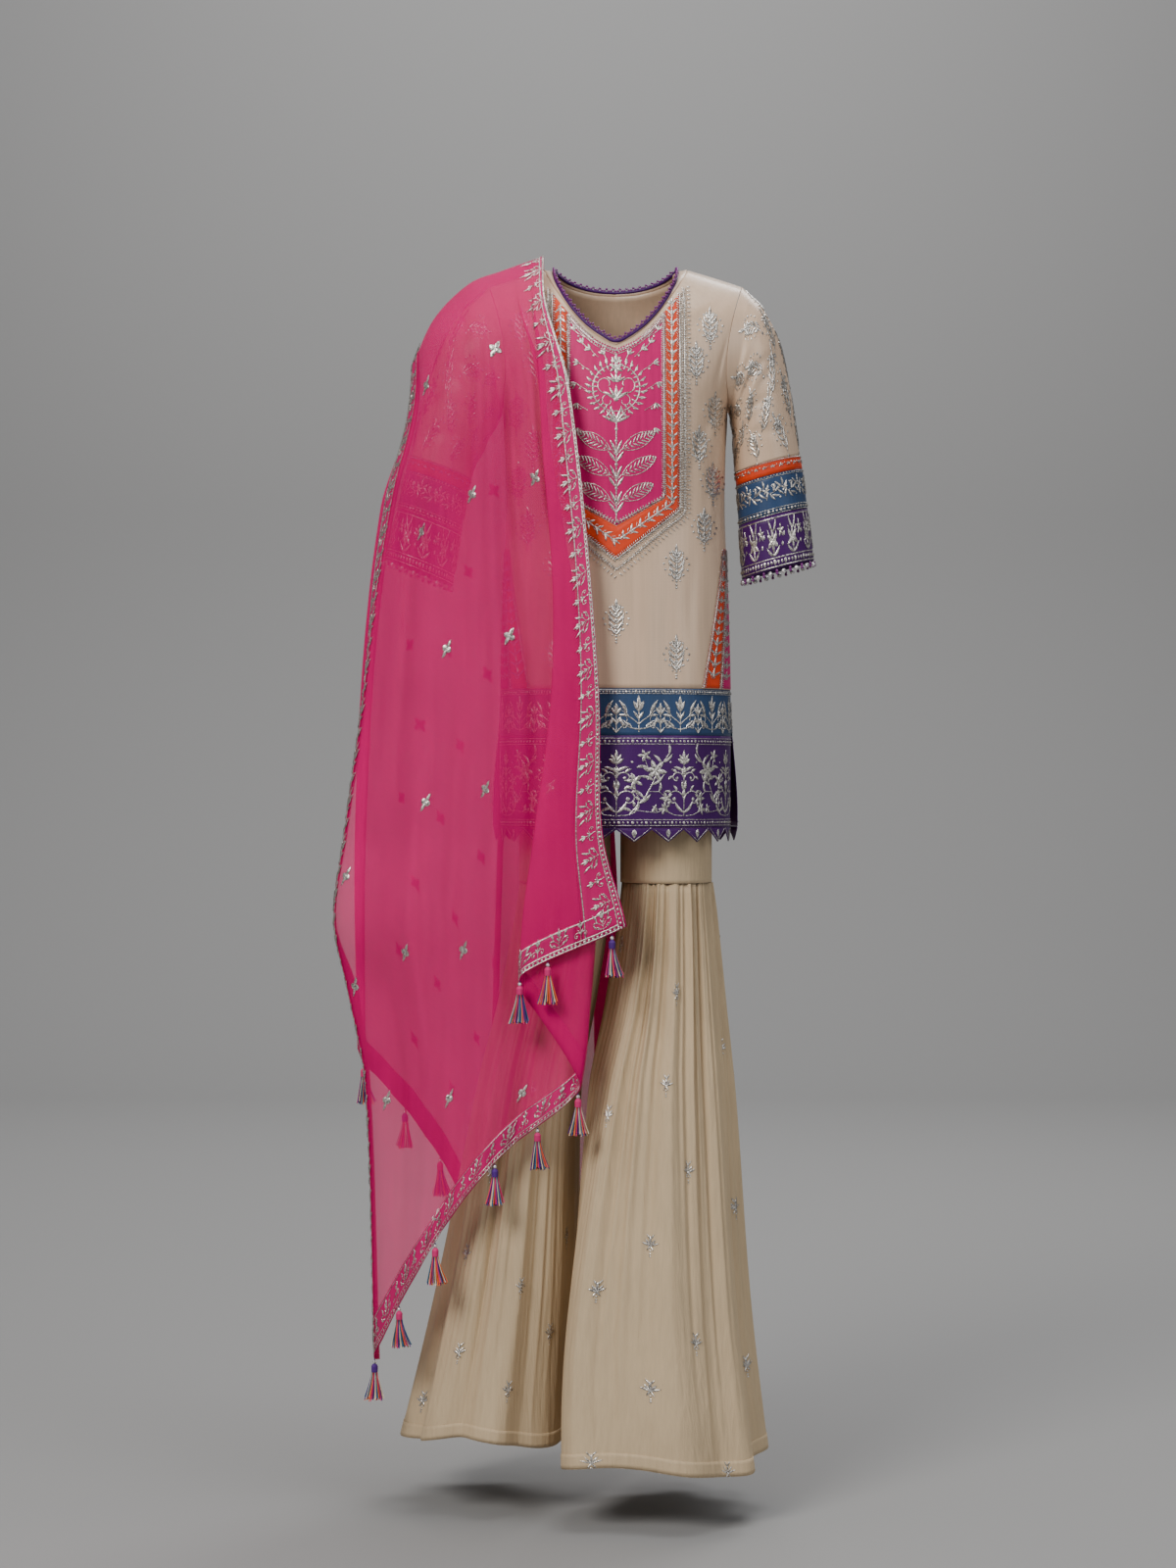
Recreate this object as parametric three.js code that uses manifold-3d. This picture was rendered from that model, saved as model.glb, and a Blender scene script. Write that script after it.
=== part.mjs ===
// Sharara suit: a short kurta, a two-legged sharara and a dupatta over the wearer's right shoulder.
// Millimetres, +Z up, the wearer faces -Y. The origin lies midway between the neck points of the
// shoulder seams, where the wearer's shoulders carry the suit.
import * as THREE from 'three';
import { mergeVertices } from 'three/addons/utils/BufferGeometryUtils.js';
import Module from 'manifold-3d';

// Driving sizes
const CLOTH = 1.6;              // wall of the kurta and the sharara
const SHEER = 1.2;              // wall of the dupatta
const APPLIQUE = 1.2;           // wall of what is sewn on a panel
const SEAM = 0.3;               // gap between neighbouring pieces
const NECK_HALF = 83;           // neck point, from the centre
const TIP_X = 150;              // shoulder tip
const TIP_Z = -22;
const ARMPIT_Z = -175;
const SHOULDER_ROLL = 70;       // height over which the shoulder rounds into front and back
const BODY_END_Z = -516;        // where the cloth of the body meets the blue border
const BLUE_END_Z = -572;
const PURPLE_END_Z = -682;
const POINT_DROP = 15;          // height of the hanging points under the hem
const POINT_COUNT = 10;         // hanging points on each half of the hem
const POINT_TURN = 88;          // where the row of points ends, in degrees from the middle
const POINT_ROOT = 2.5;         // height of the points' own tape
const SLIT_TOP_Z = -520;        // the side slits open below this

const COLOURS = {
  beige: [0xb39a7d, 0.55], magenta: [0xc4125f, 0.6], orange: [0xd8431f, 0.6], blue: [0x2c4f7c, 0.6],
  purple: [0x3f1a5c, 0.6], cream: [0xc7ac82, 0.7], sheer: [0xc8145f, 0.65], silver: [0xb9b6ae, 0.35],
};

const suit = new THREE.Group();

function addPiece(name, geometry, colour) {
  const [hex, roughness] = COLOURS[colour];
  const material = new THREE.MeshStandardMaterial({ color: hex, roughness, metalness: 0 });
  const mesh = new THREE.Mesh(geometry, material);
  mesh.name = name;
  suit.add(mesh);
}

const clamp01 = (t) => Math.min(1, Math.max(0, t));
const smooth = (t) => clamp01(t) ** 2 * (3 - 2 * clamp01(t));
const mix = (a, b, t) => a + (b - a) * t;

// A column of a table as a smooth function of its first column, which may rise or fall.
function column(table, key, by) {
  const rows = [...table].sort((p, q) => p[by] - q[by]);
  return (value) => {
    if (value <= rows[0][by]) return rows[0][key];
    const last = rows.length - 1;
    if (value >= rows[last][by]) return rows[last][key];
    let i = 0;
    while (value > rows[i + 1][by]) i += 1;
    const t = (value - rows[i][by]) / (rows[i + 1][by] - rows[i][by]);
    const slope = (k) => {
      const before = rows[Math.max(0, k - 1)];
      const after = rows[Math.min(last, k + 1)];
      return (after[key] - before[key]) / (after[by] - before[by]);
    };
    const span = rows[i + 1][by] - rows[i][by];
    const t2 = t * t;
    const t3 = t2 * t;
    return (2 * t3 - 3 * t2 + 1) * rows[i][key] + (t3 - 2 * t2 + t) * span * slope(i)
      + (3 * t2 - 2 * t3) * rows[i + 1][key] + (t3 - t2) * span * slope(i + 1);
  };
}

// Rows of bare numbers as rows with named columns
function named(names, rows) {
  return rows.map((row) => Object.fromEntries(names.map((name, i) => [name, row[i]])));
}

// Outward normals of a grid of points, grid[row][col]; wrap joins the last column to the first.
function gridNormals(grid, wrap) {
  const rows = grid.length;
  const cols = grid[0].length;
  return grid.map((line, j) => line.map((point, i) => {
    const left = wrap ? grid[j][(i + cols - 1) % cols] : grid[j][Math.max(0, i - 1)];
    const right = wrap ? grid[j][(i + 1) % cols] : grid[j][Math.min(cols - 1, i + 1)];
    const up = grid[Math.max(0, j - 1)][i];
    const down = grid[Math.min(rows - 1, j + 1)][i];
    const across = new THREE.Vector3().subVectors(right, left);
    const along = new THREE.Vector3().subVectors(down, up);
    return across.cross(along).normalize();
  }));
}

// The geometry of a closed surface, turned so that its faces look outward.
function facingOut(position, index) {
  const corner = (n) => new THREE.Vector3().fromArray(position, index[n] * 3);
  let volume = 0;
  for (let n = 0; n < index.length; n += 3) volume += corner(n).dot(corner(n + 1).cross(corner(n + 2)));
  if (volume < 0) {
    for (let n = 0; n < index.length; n += 3) [index[n], index[n + 1]] = [index[n + 1], index[n]];
  }
  const geometry = new THREE.BufferGeometry();
  geometry.setAttribute('position', new THREE.Float32BufferAttribute(position, 3));
  geometry.setIndex(index);
  return geometry;
}

// A closed wall between a grid moved by near and by far along its normals.
function wall(grid, normals, near, far, wrap = false) {
  const rows = grid.length;
  const cols = grid[0].length;
  const moved = (p, j, i, shift) => p.clone().addScaledVector(normals[j][i], shift);
  const layer = (shift) => grid.map((line, j) => line.map((p, i) => moved(p, j, i, shift)));
  const skins = [layer(far), layer(near)];
  const position = skins.flat(2).flatMap((p) => [p.x, p.y, p.z]);
  const at = (skin, j, i) => (skin * rows + j) * cols + ((i + cols) % cols);
  const index = [];
  const quad = (a, b, c, d) => index.push(a, b, c, a, c, d);
  const spans = wrap ? cols : cols - 1;
  for (let j = 0; j < rows - 1; j += 1) {
    for (let i = 0; i < spans; i += 1) {
      quad(at(0, j, i), at(0, j, i + 1), at(0, j + 1, i + 1), at(0, j + 1, i));
      quad(at(1, j, i), at(1, j + 1, i), at(1, j + 1, i + 1), at(1, j, i + 1));
    }
  }
  for (let i = 0; i < spans; i += 1) {
    quad(at(0, 0, i), at(1, 0, i), at(1, 0, i + 1), at(0, 0, i + 1));
    quad(at(0, rows - 1, i), at(0, rows - 1, i + 1), at(1, rows - 1, i + 1), at(1, rows - 1, i));
  }
  if (!wrap) {
    for (let j = 0; j < rows - 1; j += 1) {
      quad(at(0, j, 0), at(0, j + 1, 0), at(1, j + 1, 0), at(1, j, 0));
      quad(at(0, j, cols - 1), at(1, j, cols - 1), at(1, j + 1, cols - 1), at(0, j + 1, cols - 1));
    }
  }
  return facingOut(position, index);
}

const steps = (count, make) => Array.from({ length: count + 1 }, (_, k) => make(k / count, k));

// KURTA BODY
// half: half-width of the body, edge: where the panel ends (side seam, or armhole above the armpit)
const BODY = named(['z', 'half', 'edge', 'front', 'back'], [
  [-10, 196, 158, 60, 62],
  [-60, 182, 143, 84, 78],
  [-100, 168, 135, 98, 86],
  [-140, 152, 133, 106, 88],
  [-175, 137, 137, 110, 86],
  [-230, 134.6, 134.6, 110, 82],
  [-300, 133.6, 133.6, 105, 80],
  [-400, 137.6, 137.6, 108, 92],
  [-516, 140.6, 140.6, 112, 104],
  [-600, 140.6, 140.6, 113, 108],
  [-700, 139.6, 139.6, 114, 112],
]);
const bodyHalf = column(BODY, 'half', 'z');
const bodyEdge = column(BODY, 'edge', 'z');
const bodyDepth = { front: column(BODY, 'front', 'z'), back: column(BODY, 'back', 'z') };
const SECTION_POWER = 2.3;      // 2 is an ellipse, more is boxier
const SEAM_EASE = 1.5;          // room for the walls where two panels meet edge to edge
const SLIT_SPREAD = 10;         // how much further the back's sides reach below the slits
const SLIT_GAPE = 4;            // how far front and back stand apart there
const FOLD_REACH = 160;         // height over which a fold of the body comes in

const NECKLINE = {
  front: named(['x', 'z'], [[0, -106], [26, -93], [53, -66], [74, -30], [NECK_HALF, -1]]),
  back: named(['x', 'z'], [[0, -24], [30, -22], [60, -14], [NECK_HALF, -1]]),
};
const neckZ = { front: column(NECKLINE.front, 'z', 'x'), back: column(NECKLINE.back, 'z', 'x') };
const seamZ = (x) => -1 + (TIP_Z + 1) * (Math.abs(x) - NECK_HALF) / (TIP_X - NECK_HALF);

// Soft vertical folds of the body: where they lie across (degrees), how deep and how wide.
const BODY_FOLDS = named(['side', 'at', 'depth', 'width', 'from'], [
  ['front', -38, 5, 9, -330], ['front', -6, 4, 10, -380],
  ['front', 27, 5, 9, -340], ['front', 56, 4, 8, -300],
  ['back', -50, 5, 10, -300], ['back', -15, 6, 12, -330],
  ['back', 20, 5, 10, -300], ['back', 52, 5, 9, -340],
]);

function foldDepth(side, degrees, z) {
  let sum = 0;
  for (const fold of BODY_FOLDS) {
    if (fold.side !== side) continue;
    const reach = smooth((fold.from - z) / FOLD_REACH);
    sum += fold.depth * reach * Math.exp(-(((degrees - fold.at) / fold.width) ** 2));
  }
  return sum;
}

// A point of the body's outer face. turn is -90 to 90 degrees from the centre of that side.
function bodyPoint(side, turn, z) {
  const sign = side === 'front' ? -1 : 1;
  const slit = side === 'back' ? SLIT_SPREAD * smooth((SLIT_TOP_Z - z) / 150) : 0;
  const x = (bodyEdge(z) + slit) * Math.sin(THREE.MathUtils.degToRad(turn));
  const across = clamp01(Math.abs(x) / (bodyHalf(z) + slit));
  const round = (1 - across ** SECTION_POWER) ** (1 / SECTION_POWER);
  const drop = Math.max(0, seamZ(x) - z);
  const roll = drop < SHOULDER_ROLL ? Math.sqrt(1 - (1 - drop / SHOULDER_ROLL) ** 2) : 1;
  const gape = SLIT_GAPE * smooth((SLIT_TOP_Z - z) / 120);
  const y = (bodyDepth[side](z) - foldDepth(side, turn, z)) * round * roll + SEAM / 2 + SEAM_EASE + gape;
  return new THREE.Vector3(x, sign * y, z);
}

// The top edge of a panel at a turn: the neckline inside the neck point, the shoulder seam outside it.
function topZ(side, turn) {
  const x = TIP_X * Math.abs(Math.sin(THREE.MathUtils.degToRad(turn)));
  return x < NECK_HALF ? neckZ[side](x) : seamZ(x);
}

function bodyGrid(side, turns, levels) {
  return levels.map((level) => turns.map((turn) => bodyPoint(side, turn, level(turn))));
}

const outward = (grid, wrap) => {
  const normals = gridNormals(grid, wrap);
  let facing = 0;
  const middle = new THREE.Vector3();
  grid.flat().forEach((p) => middle.add(p));
  middle.divideScalar(grid.length * grid[0].length);
  if (!wrap) middle.y = 0;
  grid.forEach((line, j) => line.forEach((p, i) => {
    const away = p.clone().sub(middle);
    away.z = 0;
    facing += normals[j][i].dot(away);
  }));
  if (facing < 0) normals.flat().forEach((n) => n.negate());
  return normals;
};

const TURNS = [-90, -84, -75, -60, -48, -39, -33.6, -27, -18, -9, 0, 9, 18, 27, 33.6, 39, 48, 60, 75, 84, 90];
const BODY_LEVELS = [0, 0.06, 0.14, 0.24, 0.36, 0.5, 0.66, 0.84, 1];
for (const side of ['front', 'back']) {
  const top = BODY_LEVELS.map((share) => (turn) => mix(topZ(side, turn), BODY_END_Z + SEAM / 2, share));
  const grid = bodyGrid(side, TURNS, top);
  addPiece(`kurta_${side}`, wall(grid, outward(grid), -CLOTH, 0), 'beige');
  const bandLevels = (from, to, rows) => steps(rows, (t) => () => mix(from - SEAM / 2, to + SEAM / 2, t));
  const band = (from, to, rows) => bodyGrid(side, TURNS, bandLevels(from, to, rows));
  const blue = band(BODY_END_Z, BLUE_END_Z, 1);
  addPiece(`border_blue_${side}`, wall(blue, outward(blue), -CLOTH, 0), 'blue');
  const purple = band(BLUE_END_Z, PURPLE_END_Z, 2);
  addPiece(`border_purple_${side}`, wall(purple, outward(purple), -CLOTH, 0), 'purple');
  const pointTurns = steps(POINT_COUNT * 2, (t) => mix(-POINT_TURN, POINT_TURN, t));
  const pointDrop = (turn) => {
    const phase = (turn + POINT_TURN) / (2 * POINT_TURN) * POINT_COUNT;
    return POINT_DROP * (1 - Math.abs(2 * (phase % 1) - 1));
  };
  const points = bodyGrid(side, pointTurns, [
    () => PURPLE_END_Z - SEAM / 2,
    (turn) => PURPLE_END_Z - POINT_ROOT - pointDrop(turn),
  ]);
  addPiece(`hem_points_${side}`, wall(points, outward(points), -CLOTH, 0), 'silver');
}

// Patches sewn on the body: the yoke, its orange border and the two side inserts on each side.
const PATCH_LIFT = 2.4;           // clears the facets of the panel below
function patch(name, colour, rows, cols, place) {
  const grid = steps(rows, (t) => steps(cols, (s) => {
    const { x, z } = place(s, t);
    const turn = THREE.MathUtils.radToDeg(Math.asin(THREE.MathUtils.clamp(x / bodyEdge(z), -1, 1)));
    return bodyPoint('front', turn, z);
  }));
  addPiece(name, wall(grid, outward(grid), PATCH_LIFT, PATCH_LIFT + APPLIQUE), colour);
}

const YOKE = { half: 58, sideZ: -288, tipZ: -322, inset: 5 };
const YOKE_BORDER = { half: 76, sideZ: -302, tipZ: -362, topZ: -40 };
const BORDER_INNER = { gap: 0.6, drop: 1, topZ: -64 };
const BORDER_ARM = 0.36;        // share of the path that each side arm takes
const yokeFoot = (x) => mix(YOKE.tipZ, YOKE.sideZ, Math.abs(x) / YOKE.half);
patch('yoke', 'magenta', 6, 12, (s, t) => {
  const x = mix(-YOKE.half, YOKE.half, s);
  return { x, z: mix(neckZ.front(Math.abs(x)) - YOKE.inset, yokeFoot(x), t) };
});
// The border runs down one side, to the point and up the other; s goes along it, t across it.
const borderPath = (half, sideZ, tipZ, topEdge) => (s) => {
  const arm = BORDER_ARM;
  const sign = s < 0.5 ? -1 : 1;
  const run = Math.min(s, 1 - s);
  if (run < arm) return { x: sign * half, z: mix(topEdge, sideZ, run / arm) };
  const t = (run - arm) / (0.5 - arm);
  return { x: sign * half * (1 - t), z: mix(sideZ, tipZ, t) };
};
const innerRun = borderPath(
  YOKE.half + BORDER_INNER.gap,
  YOKE.sideZ - BORDER_INNER.drop,
  YOKE.tipZ - BORDER_INNER.drop,
  BORDER_INNER.topZ,
);
const outerRun = borderPath(YOKE_BORDER.half, YOKE_BORDER.sideZ, YOKE_BORDER.tipZ, YOKE_BORDER.topZ);
patch('yoke_border', 'orange', 1, 36, (s, t) => {
  const inner = innerRun(s);
  const outer = outerRun(s);
  return { x: mix(inner.x, outer.x, t), z: mix(inner.z, outer.z, t) };
});
// Inserts: two narrow wedges by each side seam; spread is their width at the top as a share of the foot's.
const INSERT = { topZ: -345, footZ: BODY_END_Z + 1, orangeX: 104, magentaX: 126, spread: 0.12 };
for (const [hand, sign] of [['left', 1], ['right', -1]]) {
  for (const colour of ['orange', 'magenta']) {
    patch(`insert_${colour}_${hand}`, colour, 4, 2, (s, t) => {
      const z = mix(INSERT.topZ, INSERT.footZ, t);
      const edge = bodyEdge(z) - 1;
      const spread = mix(INSERT.spread, 1, t);
      const seamX = edge - (edge - INSERT.magentaX) * spread;
      const near = colour === 'orange' ? edge - (edge - INSERT.orangeX) * spread : seamX + SEAM / 3;
      const far = colour === 'orange' ? seamX : edge;
      return { x: sign * mix(near, far, s), z };
    });
  }
}

// Piping round the neck, standing just clear of the cut edges
const PIPING_R = 2;
const PIPING_CLEAR = 1.1;
const PIPING_SIDES = 4;
const PIPING_STEPS = 36;
const PIPING_STATIONS = [-78, -71, -63, -53, -38, -20, 0, 20, 38, 53, 63, 71, 78];
const pipingPoints = [];
for (const side of ['front', 'back']) {
  for (const station of PIPING_STATIONS) {
    const x = side === 'front' ? station : -station;
    const z = neckZ[side](Math.abs(x));
    const rise = (neckZ[side](Math.abs(x) + 1) - neckZ[side](Math.max(0, Math.abs(x) - 1))) / 2;
    const away = (PIPING_R + CLOTH + PIPING_CLEAR) / Math.hypot(rise, 1);
    const edge = bodyPoint(side, THREE.MathUtils.radToDeg(Math.asin(x / bodyEdge(z))), z);
    pipingPoints.push(new THREE.Vector3(x - Math.sign(x) * rise * away, edge.y, z + away));
  }
}
const pipingCurve = new THREE.CatmullRomCurve3(pipingPoints, true);
// A closed tube along a closed curve: a grid that wraps both ways, so its ends are welded.
function closedTube(curve, count, sides, radius) {
  const frames = curve.computeFrenetFrames(count, true);
  const position = [];
  const index = [];
  for (let j = 0; j < count; j += 1) {
    const p = curve.getPointAt(j / count);
    for (let i = 0; i < sides; i += 1) {
      const angle = i / sides * 2 * Math.PI;
      const q = p.clone().addScaledVector(frames.normals[j], radius * Math.cos(angle))
        .addScaledVector(frames.binormals[j], radius * Math.sin(angle));
      position.push(q.x, q.y, q.z);
    }
  }
  const at = (j, i) => (j % count) * sides + (i % sides);
  for (let j = 0; j < count; j += 1) {
    for (let i = 0; i < sides; i += 1) {
      index.push(at(j, i), at(j, i + 1), at(j + 1, i + 1), at(j, i), at(j + 1, i + 1), at(j + 1, i));
    }
  }
  return facingOut(position, index);
}
addPiece('neck_piping', closedTube(pipingCurve, PIPING_STEPS, PIPING_SIDES, PIPING_R), 'purple');

// SLEEVES: rings given by their outer (top) and inner (bottom) points and their half-depth
const SLEEVES = {
  left: named(['t', 'outX', 'outZ', 'inX', 'inZ', 'depth'], [
    [0.10, 163, -31, 139.5, -180, 60], [0.22, 180, -48, 141, -186, 62], [0.38, 200, -88, 143, -198, 61],
    [0.55, 213, -145, 144, -214, 57], [0.70, 221, -196, 145, -232, 53], [0.80, 226, -229, 146, -250, 51],
    [0.85, 229, -247, 148, -268, 50], [1, 243, -357, 155, -380, 47]]),
  right: named(['t', 'outX', 'outZ', 'inX', 'inZ', 'depth'], [
    [0.10, 163, -31, 139.5, -180, 60], [0.22, 184, -48, 144, -188, 62], [0.38, 210, -88, 152, -202, 61],
    [0.55, 230, -145, 162, -222, 57], [0.70, 244, -196, 171, -240, 53], [0.80, 252, -230, 177, -258, 51],
    [0.85, 257, -248, 181, -276, 50], [1, 281, -355, 200, -388, 47]]),
};
const SLEEVE_SIDES = 18;
const SLEEVE_SPANS = named(['piece', 'colour', 'from', 'to', 'rows'], [
  ['sleeve', 'beige', 0, 0.80, 7], ['cuff_orange', 'orange', 0.80, 0.847, 1],
  ['cuff_blue', 'blue', 0.847, 0.915, 1], ['cuff_purple', 'purple', 0.915, 1, 1],
]);
const ARMHOLE_GAP = 0.9;
const CUFF_GAP = 0.0004;        // half a seam, as a share of the sleeve's table
const SLEEVE_CREASES = named(['t', 'at', 'depth'], [
  [0.30, 60, 5], [0.42, 110, 4], [0.52, 50, 4], [0.36, 250, 5],
]);
const CREASE_TURN = 32;         // half-width of a sleeve crease, in degrees
const CREASE_RUN = 0.05;        // and along the sleeve's table
const HEAD_EASE = 0.9;          // how far the sleeve's head has left the armhole at its first ring

function sleevePoint(hand, t, side) {
  const table = SLEEVES[hand];
  const read = (key) => column(table, key, 't')(Math.max(t, table[0].t));
  const angle = side / SLEEVE_SIDES * 2 * Math.PI;
  const share = (1 - Math.cos(angle)) / 2;
  let crease = 0;
  for (const c of SLEEVE_CREASES) {
    const turned = (THREE.MathUtils.radToDeg(angle) - c.at) / CREASE_TURN;
    crease += c.depth * Math.exp(-(turned ** 2) - (((t - c.t) / CREASE_RUN) ** 2));
  }
  const ring = new THREE.Vector3(
    mix(read('inX'), read('outX'), share),
    -(read('depth') - crease) * Math.sin(angle),
    mix(read('inZ'), read('outZ'), share),
  );
  const z = mix(ARMPIT_Z, TIP_Z, share);
  const front = Math.sin(angle) >= 0 ? 'front' : 'back';
  const hole = bodyPoint(front, 90, z);
  hole.x += ARMHOLE_GAP;
  return hole.lerp(ring, smooth(t / table[0].t * HEAD_EASE));
}
for (const [hand, sign] of [['left', 1], ['right', -1]]) {
  for (const span of SLEEVE_SPANS) {
    const start = span.from + (span.from > 0 ? CUFF_GAP : 0);
    const end = span.to - (span.to < 1 ? CUFF_GAP : 0);
    const grid = steps(span.rows, (t) => steps(SLEEVE_SIDES - 1, (s, k) => {
      const p = sleevePoint(hand, mix(start, end, t), k);
      p.x *= sign;
      return p;
    }));
    const normals = outward(grid, true);
    if (span.from === 0) normals[0].forEach((n) => { n.x = 0; n.normalize(); });
    addPiece(`${span.piece}_${hand}`, wall(grid, normals, -CLOTH, 0, true), span.colour);
  }
}

// SHARARA: a waistband, two fitted uppers open down the middle above the crotch, two gathered flares
const WAIST_Z = -430;
const BAND_FOOT_Z = -462;
const CROTCH_Z = -585;
const GATHER_Z = -750;
const HIP = named(['z', 'half', 'depth'], [
  [-430, 100, 72], [-480, 112, 80], [-560, 122, 88], [-640, 124, 88], [-760, 122, 82],
]);
const hipHalf = column(HIP, 'half', 'z');
const hipDepth = column(HIP, 'depth', 'z');
const LEG_MIDDLE = 62;
const LEG_HALF = { x: 56, y: 74 };
const LEG_CLOSE = 179.6;        // the fitted leg's tube stops just short of meeting itself, in degrees
const SEAT_GAP = 2;             // the two uppers' distance from the middle
const BAND_SIDES = 36;
const UPPER_ROWS = 7;
const UPPER_SPANS = 16;

const bandGrid = steps(1, (t) => steps(BAND_SIDES - 1, (s, k) => {
  const angle = k / BAND_SIDES * 2 * Math.PI;
  const z = mix(WAIST_Z, BAND_FOOT_Z, t);
  return new THREE.Vector3(hipHalf(z) * Math.cos(angle), hipDepth(z) * Math.sin(angle), z);
}));
addPiece('waistband', wall(bandGrid, outward(bandGrid, true), -CLOTH, 0, true), 'cream');

for (const [hand, sign] of [['left', 1], ['right', -1]]) {
  const upper = steps(UPPER_ROWS, (t) => {
    const z = mix(BAND_FOOT_Z - 4 * SEAM, GATHER_Z + SEAM, t);
    const fork = smooth((BAND_FOOT_Z - z) / (BAND_FOOT_Z - CROTCH_Z));
    return steps(UPPER_SPANS, (s) => {
      const half = mix(-90, 90, s) * Math.PI / 180;
      const leg = mix(-LEG_CLOSE, LEG_CLOSE, s) * Math.PI / 180;
      const seat = [hipHalf(z) * Math.cos(half) + SEAT_GAP, hipDepth(z) * Math.sin(half)];
      const tube = [LEG_MIDDLE + LEG_HALF.x * Math.cos(leg), LEG_HALF.y * Math.sin(leg)];
      return new THREE.Vector3(sign * mix(seat[0], tube[0], fork), mix(seat[1], tube[1], fork), z);
    });
  });
  const normals = outward(upper);
  const middle = new THREE.Vector3(sign * LEG_MIDDLE, 0, 0);
  const outer = [UPPER_ROWS - 1, UPPER_SPANS / 2];
  const probe = upper[outer[0]][outer[1]].clone().sub(middle);
  if (normals[outer[0]][outer[1]].x * probe.x < 0) normals.flat().forEach((n) => n.negate());
  addPiece(`sharara_upper_${hand}`, wall(upper, normals, -CLOTH, 0), 'cream');
}

// Flares: centre, half-width and half-depth from the gather seam to the hem
const FLARES = {
  left: named(['z', 'x', 'y', 'halfX', 'halfY'], [
    [-750, 62, 0, 54, 72], [-790, 61, 0, 57, 76], [-900, 57, -4, 70, 88], [-1000, 53, -8, 83, 98],
    [-1250, 61, -14, 92, 122], [-1444, 74, -18, 102, 146]]),
  right: named(['z', 'x', 'y', 'halfX', 'halfY'], [
    [-750, -62, 0, 54, 72], [-790, -65, 2, 56, 76], [-900, -84, 12, 58, 88], [-1000, -105, 24, 62, 98],
    [-1250, -132, 42, 86, 120], [-1424, -154, 52, 104, 138]]),
};
const GATHERS = 18;
const POINTS_PER_GATHER = 4;
const GATHER_DEPTH = named(['share', 'gather', 'fold'], [
  [0, 1.6, 0], [0.06, 3, 0.5], [0.35, 3.4, 3], [0.7, 2.6, 6], [1, 0.8, 9],
]);
const gatherDepth = column(GATHER_DEPTH, 'gather', 'share');
const foldSwing = column(GATHER_DEPTH, 'fold', 'share');
const BIG_FOLDS = 9;
const FLARE_LEVELS = [0, 0.04, 0.16, 0.38, 0.62, 0.84, 1];
// The left leg's front laps over the right one: how far, where (degrees) and over what width
const LAP = { reach: 72, at: 235, width: 38, from: 0.1 };

function flarePoint(hand, share, angle) {
  const table = FLARES[hand];
  const top = table[0].z;
  const foot = table[table.length - 1].z;
  const z = mix(top - SEAM, foot, share);
  const read = (key) => column(table, key, 'z')(z);
  const inner = hand === 'left' ? -Math.cos(angle) : Math.cos(angle);
  const calm = 1 - 0.75 * smooth((inner - 0.2) / 0.6);
  const uneven = 1 + 0.35 * Math.sin(angle * 3 + 1);
  const phase = hand === 'left' ? 0 : 1.3;
  const gather = gatherDepth(share) * uneven * Math.cos(GATHERS * angle);
  const fold = foldSwing(share) * Math.cos(BIG_FOLDS * angle + 0.6 * Math.sin(2 * angle) + phase);
  const wave = (gather + fold) * calm;
  const hemWave = share * share * 8 * Math.sin(3 * angle + 0.8);
  const offLap = (THREE.MathUtils.radToDeg(angle) - LAP.at) / LAP.width;
  const reach = hand === 'left' ? LAP.reach : 0;
  const lap = reach * smooth((share - LAP.from) / (1 - LAP.from)) * Math.exp(-(offLap ** 2));
  return new THREE.Vector3(
    read('x') + (read('halfX') + wave) * Math.cos(angle) - lap,
    read('y') + (read('halfY') + wave) * Math.sin(angle),
    z + hemWave,
  );
}
for (const hand of ['left', 'right']) {
  const count = GATHERS * POINTS_PER_GATHER;
  const around = (share) => steps(count - 1, (s, k) => flarePoint(hand, share, k / count * 2 * Math.PI));
  const grid = FLARE_LEVELS.map(around);
  addPiece(`flare_${hand}`, wall(grid, outward(grid, true), -CLOTH, 0, true), 'cream');
}

// DUPATTA: one sheet over the right shoulder. u runs across it from the inner edge, by the neck, to
// the outer edge round the arm; v runs along it from the front end over the shoulder to the back end.
// Plans by height: where the inner edge, the two turns of the Z-fold and the outer side lie.
const PLAN_COLUMNS = ['z', 'inX', 'foldX', 'backX', 'sideX', 'endX', 'y', 'layer', 'sideY'];
const FRONT_PLAN = named(PLAN_COLUMNS, [
  [30, -88, -104, -112, -214, -238, -40, 3, -22],
  [-40, -82, -100, -108, -214, -242, -92, 3.5, -34],
  [-100, -66, -94, -92, -232, -250, -122, 4, -56],
  [-230, -46, -88, -78, -262, -272, -134, 8, -50],
  [-390, -30, -76, -52, -291, -296, -140, 11, -34],
  [-530, -20, -78, -30, -308, -306, -144, 12, -30],
  [-690, -16, -98, -22, -330, -328, -146, 12, -30],
  [-798, 12, -112, -24, -342, -342, -148, 12, -40],
  [-880, 20, -114, -30, -326, -316, -148, 12, -30],
  [-996, 20, -112, -44, -304, -300, -148, 12, -40],
  [-1340, 20, -112, -150, -292, -288, -152, 10, -60],
]);
const BACK_PLAN = named(PLAN_COLUMNS, [
  [30, -88, -104, -112, -214, -238, 40, 0, 30],
  [-40, -82, -104, -116, -214, -246, 92, 0, 42],
  [-100, -66, -104, -124, -236, -258, 112, 0, 66],
  [-390, -30, -84, -130, -290, -304, 122, 0, 60],
  [-690, 0, -76, -140, -310, -322, 142, 0, 62],
  [-1000, 10, -76, -150, -312, -320, 176, 0, 96],
  [-1340, 16, -76, -160, -316, -322, 232, 0, 140],
]);
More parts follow.
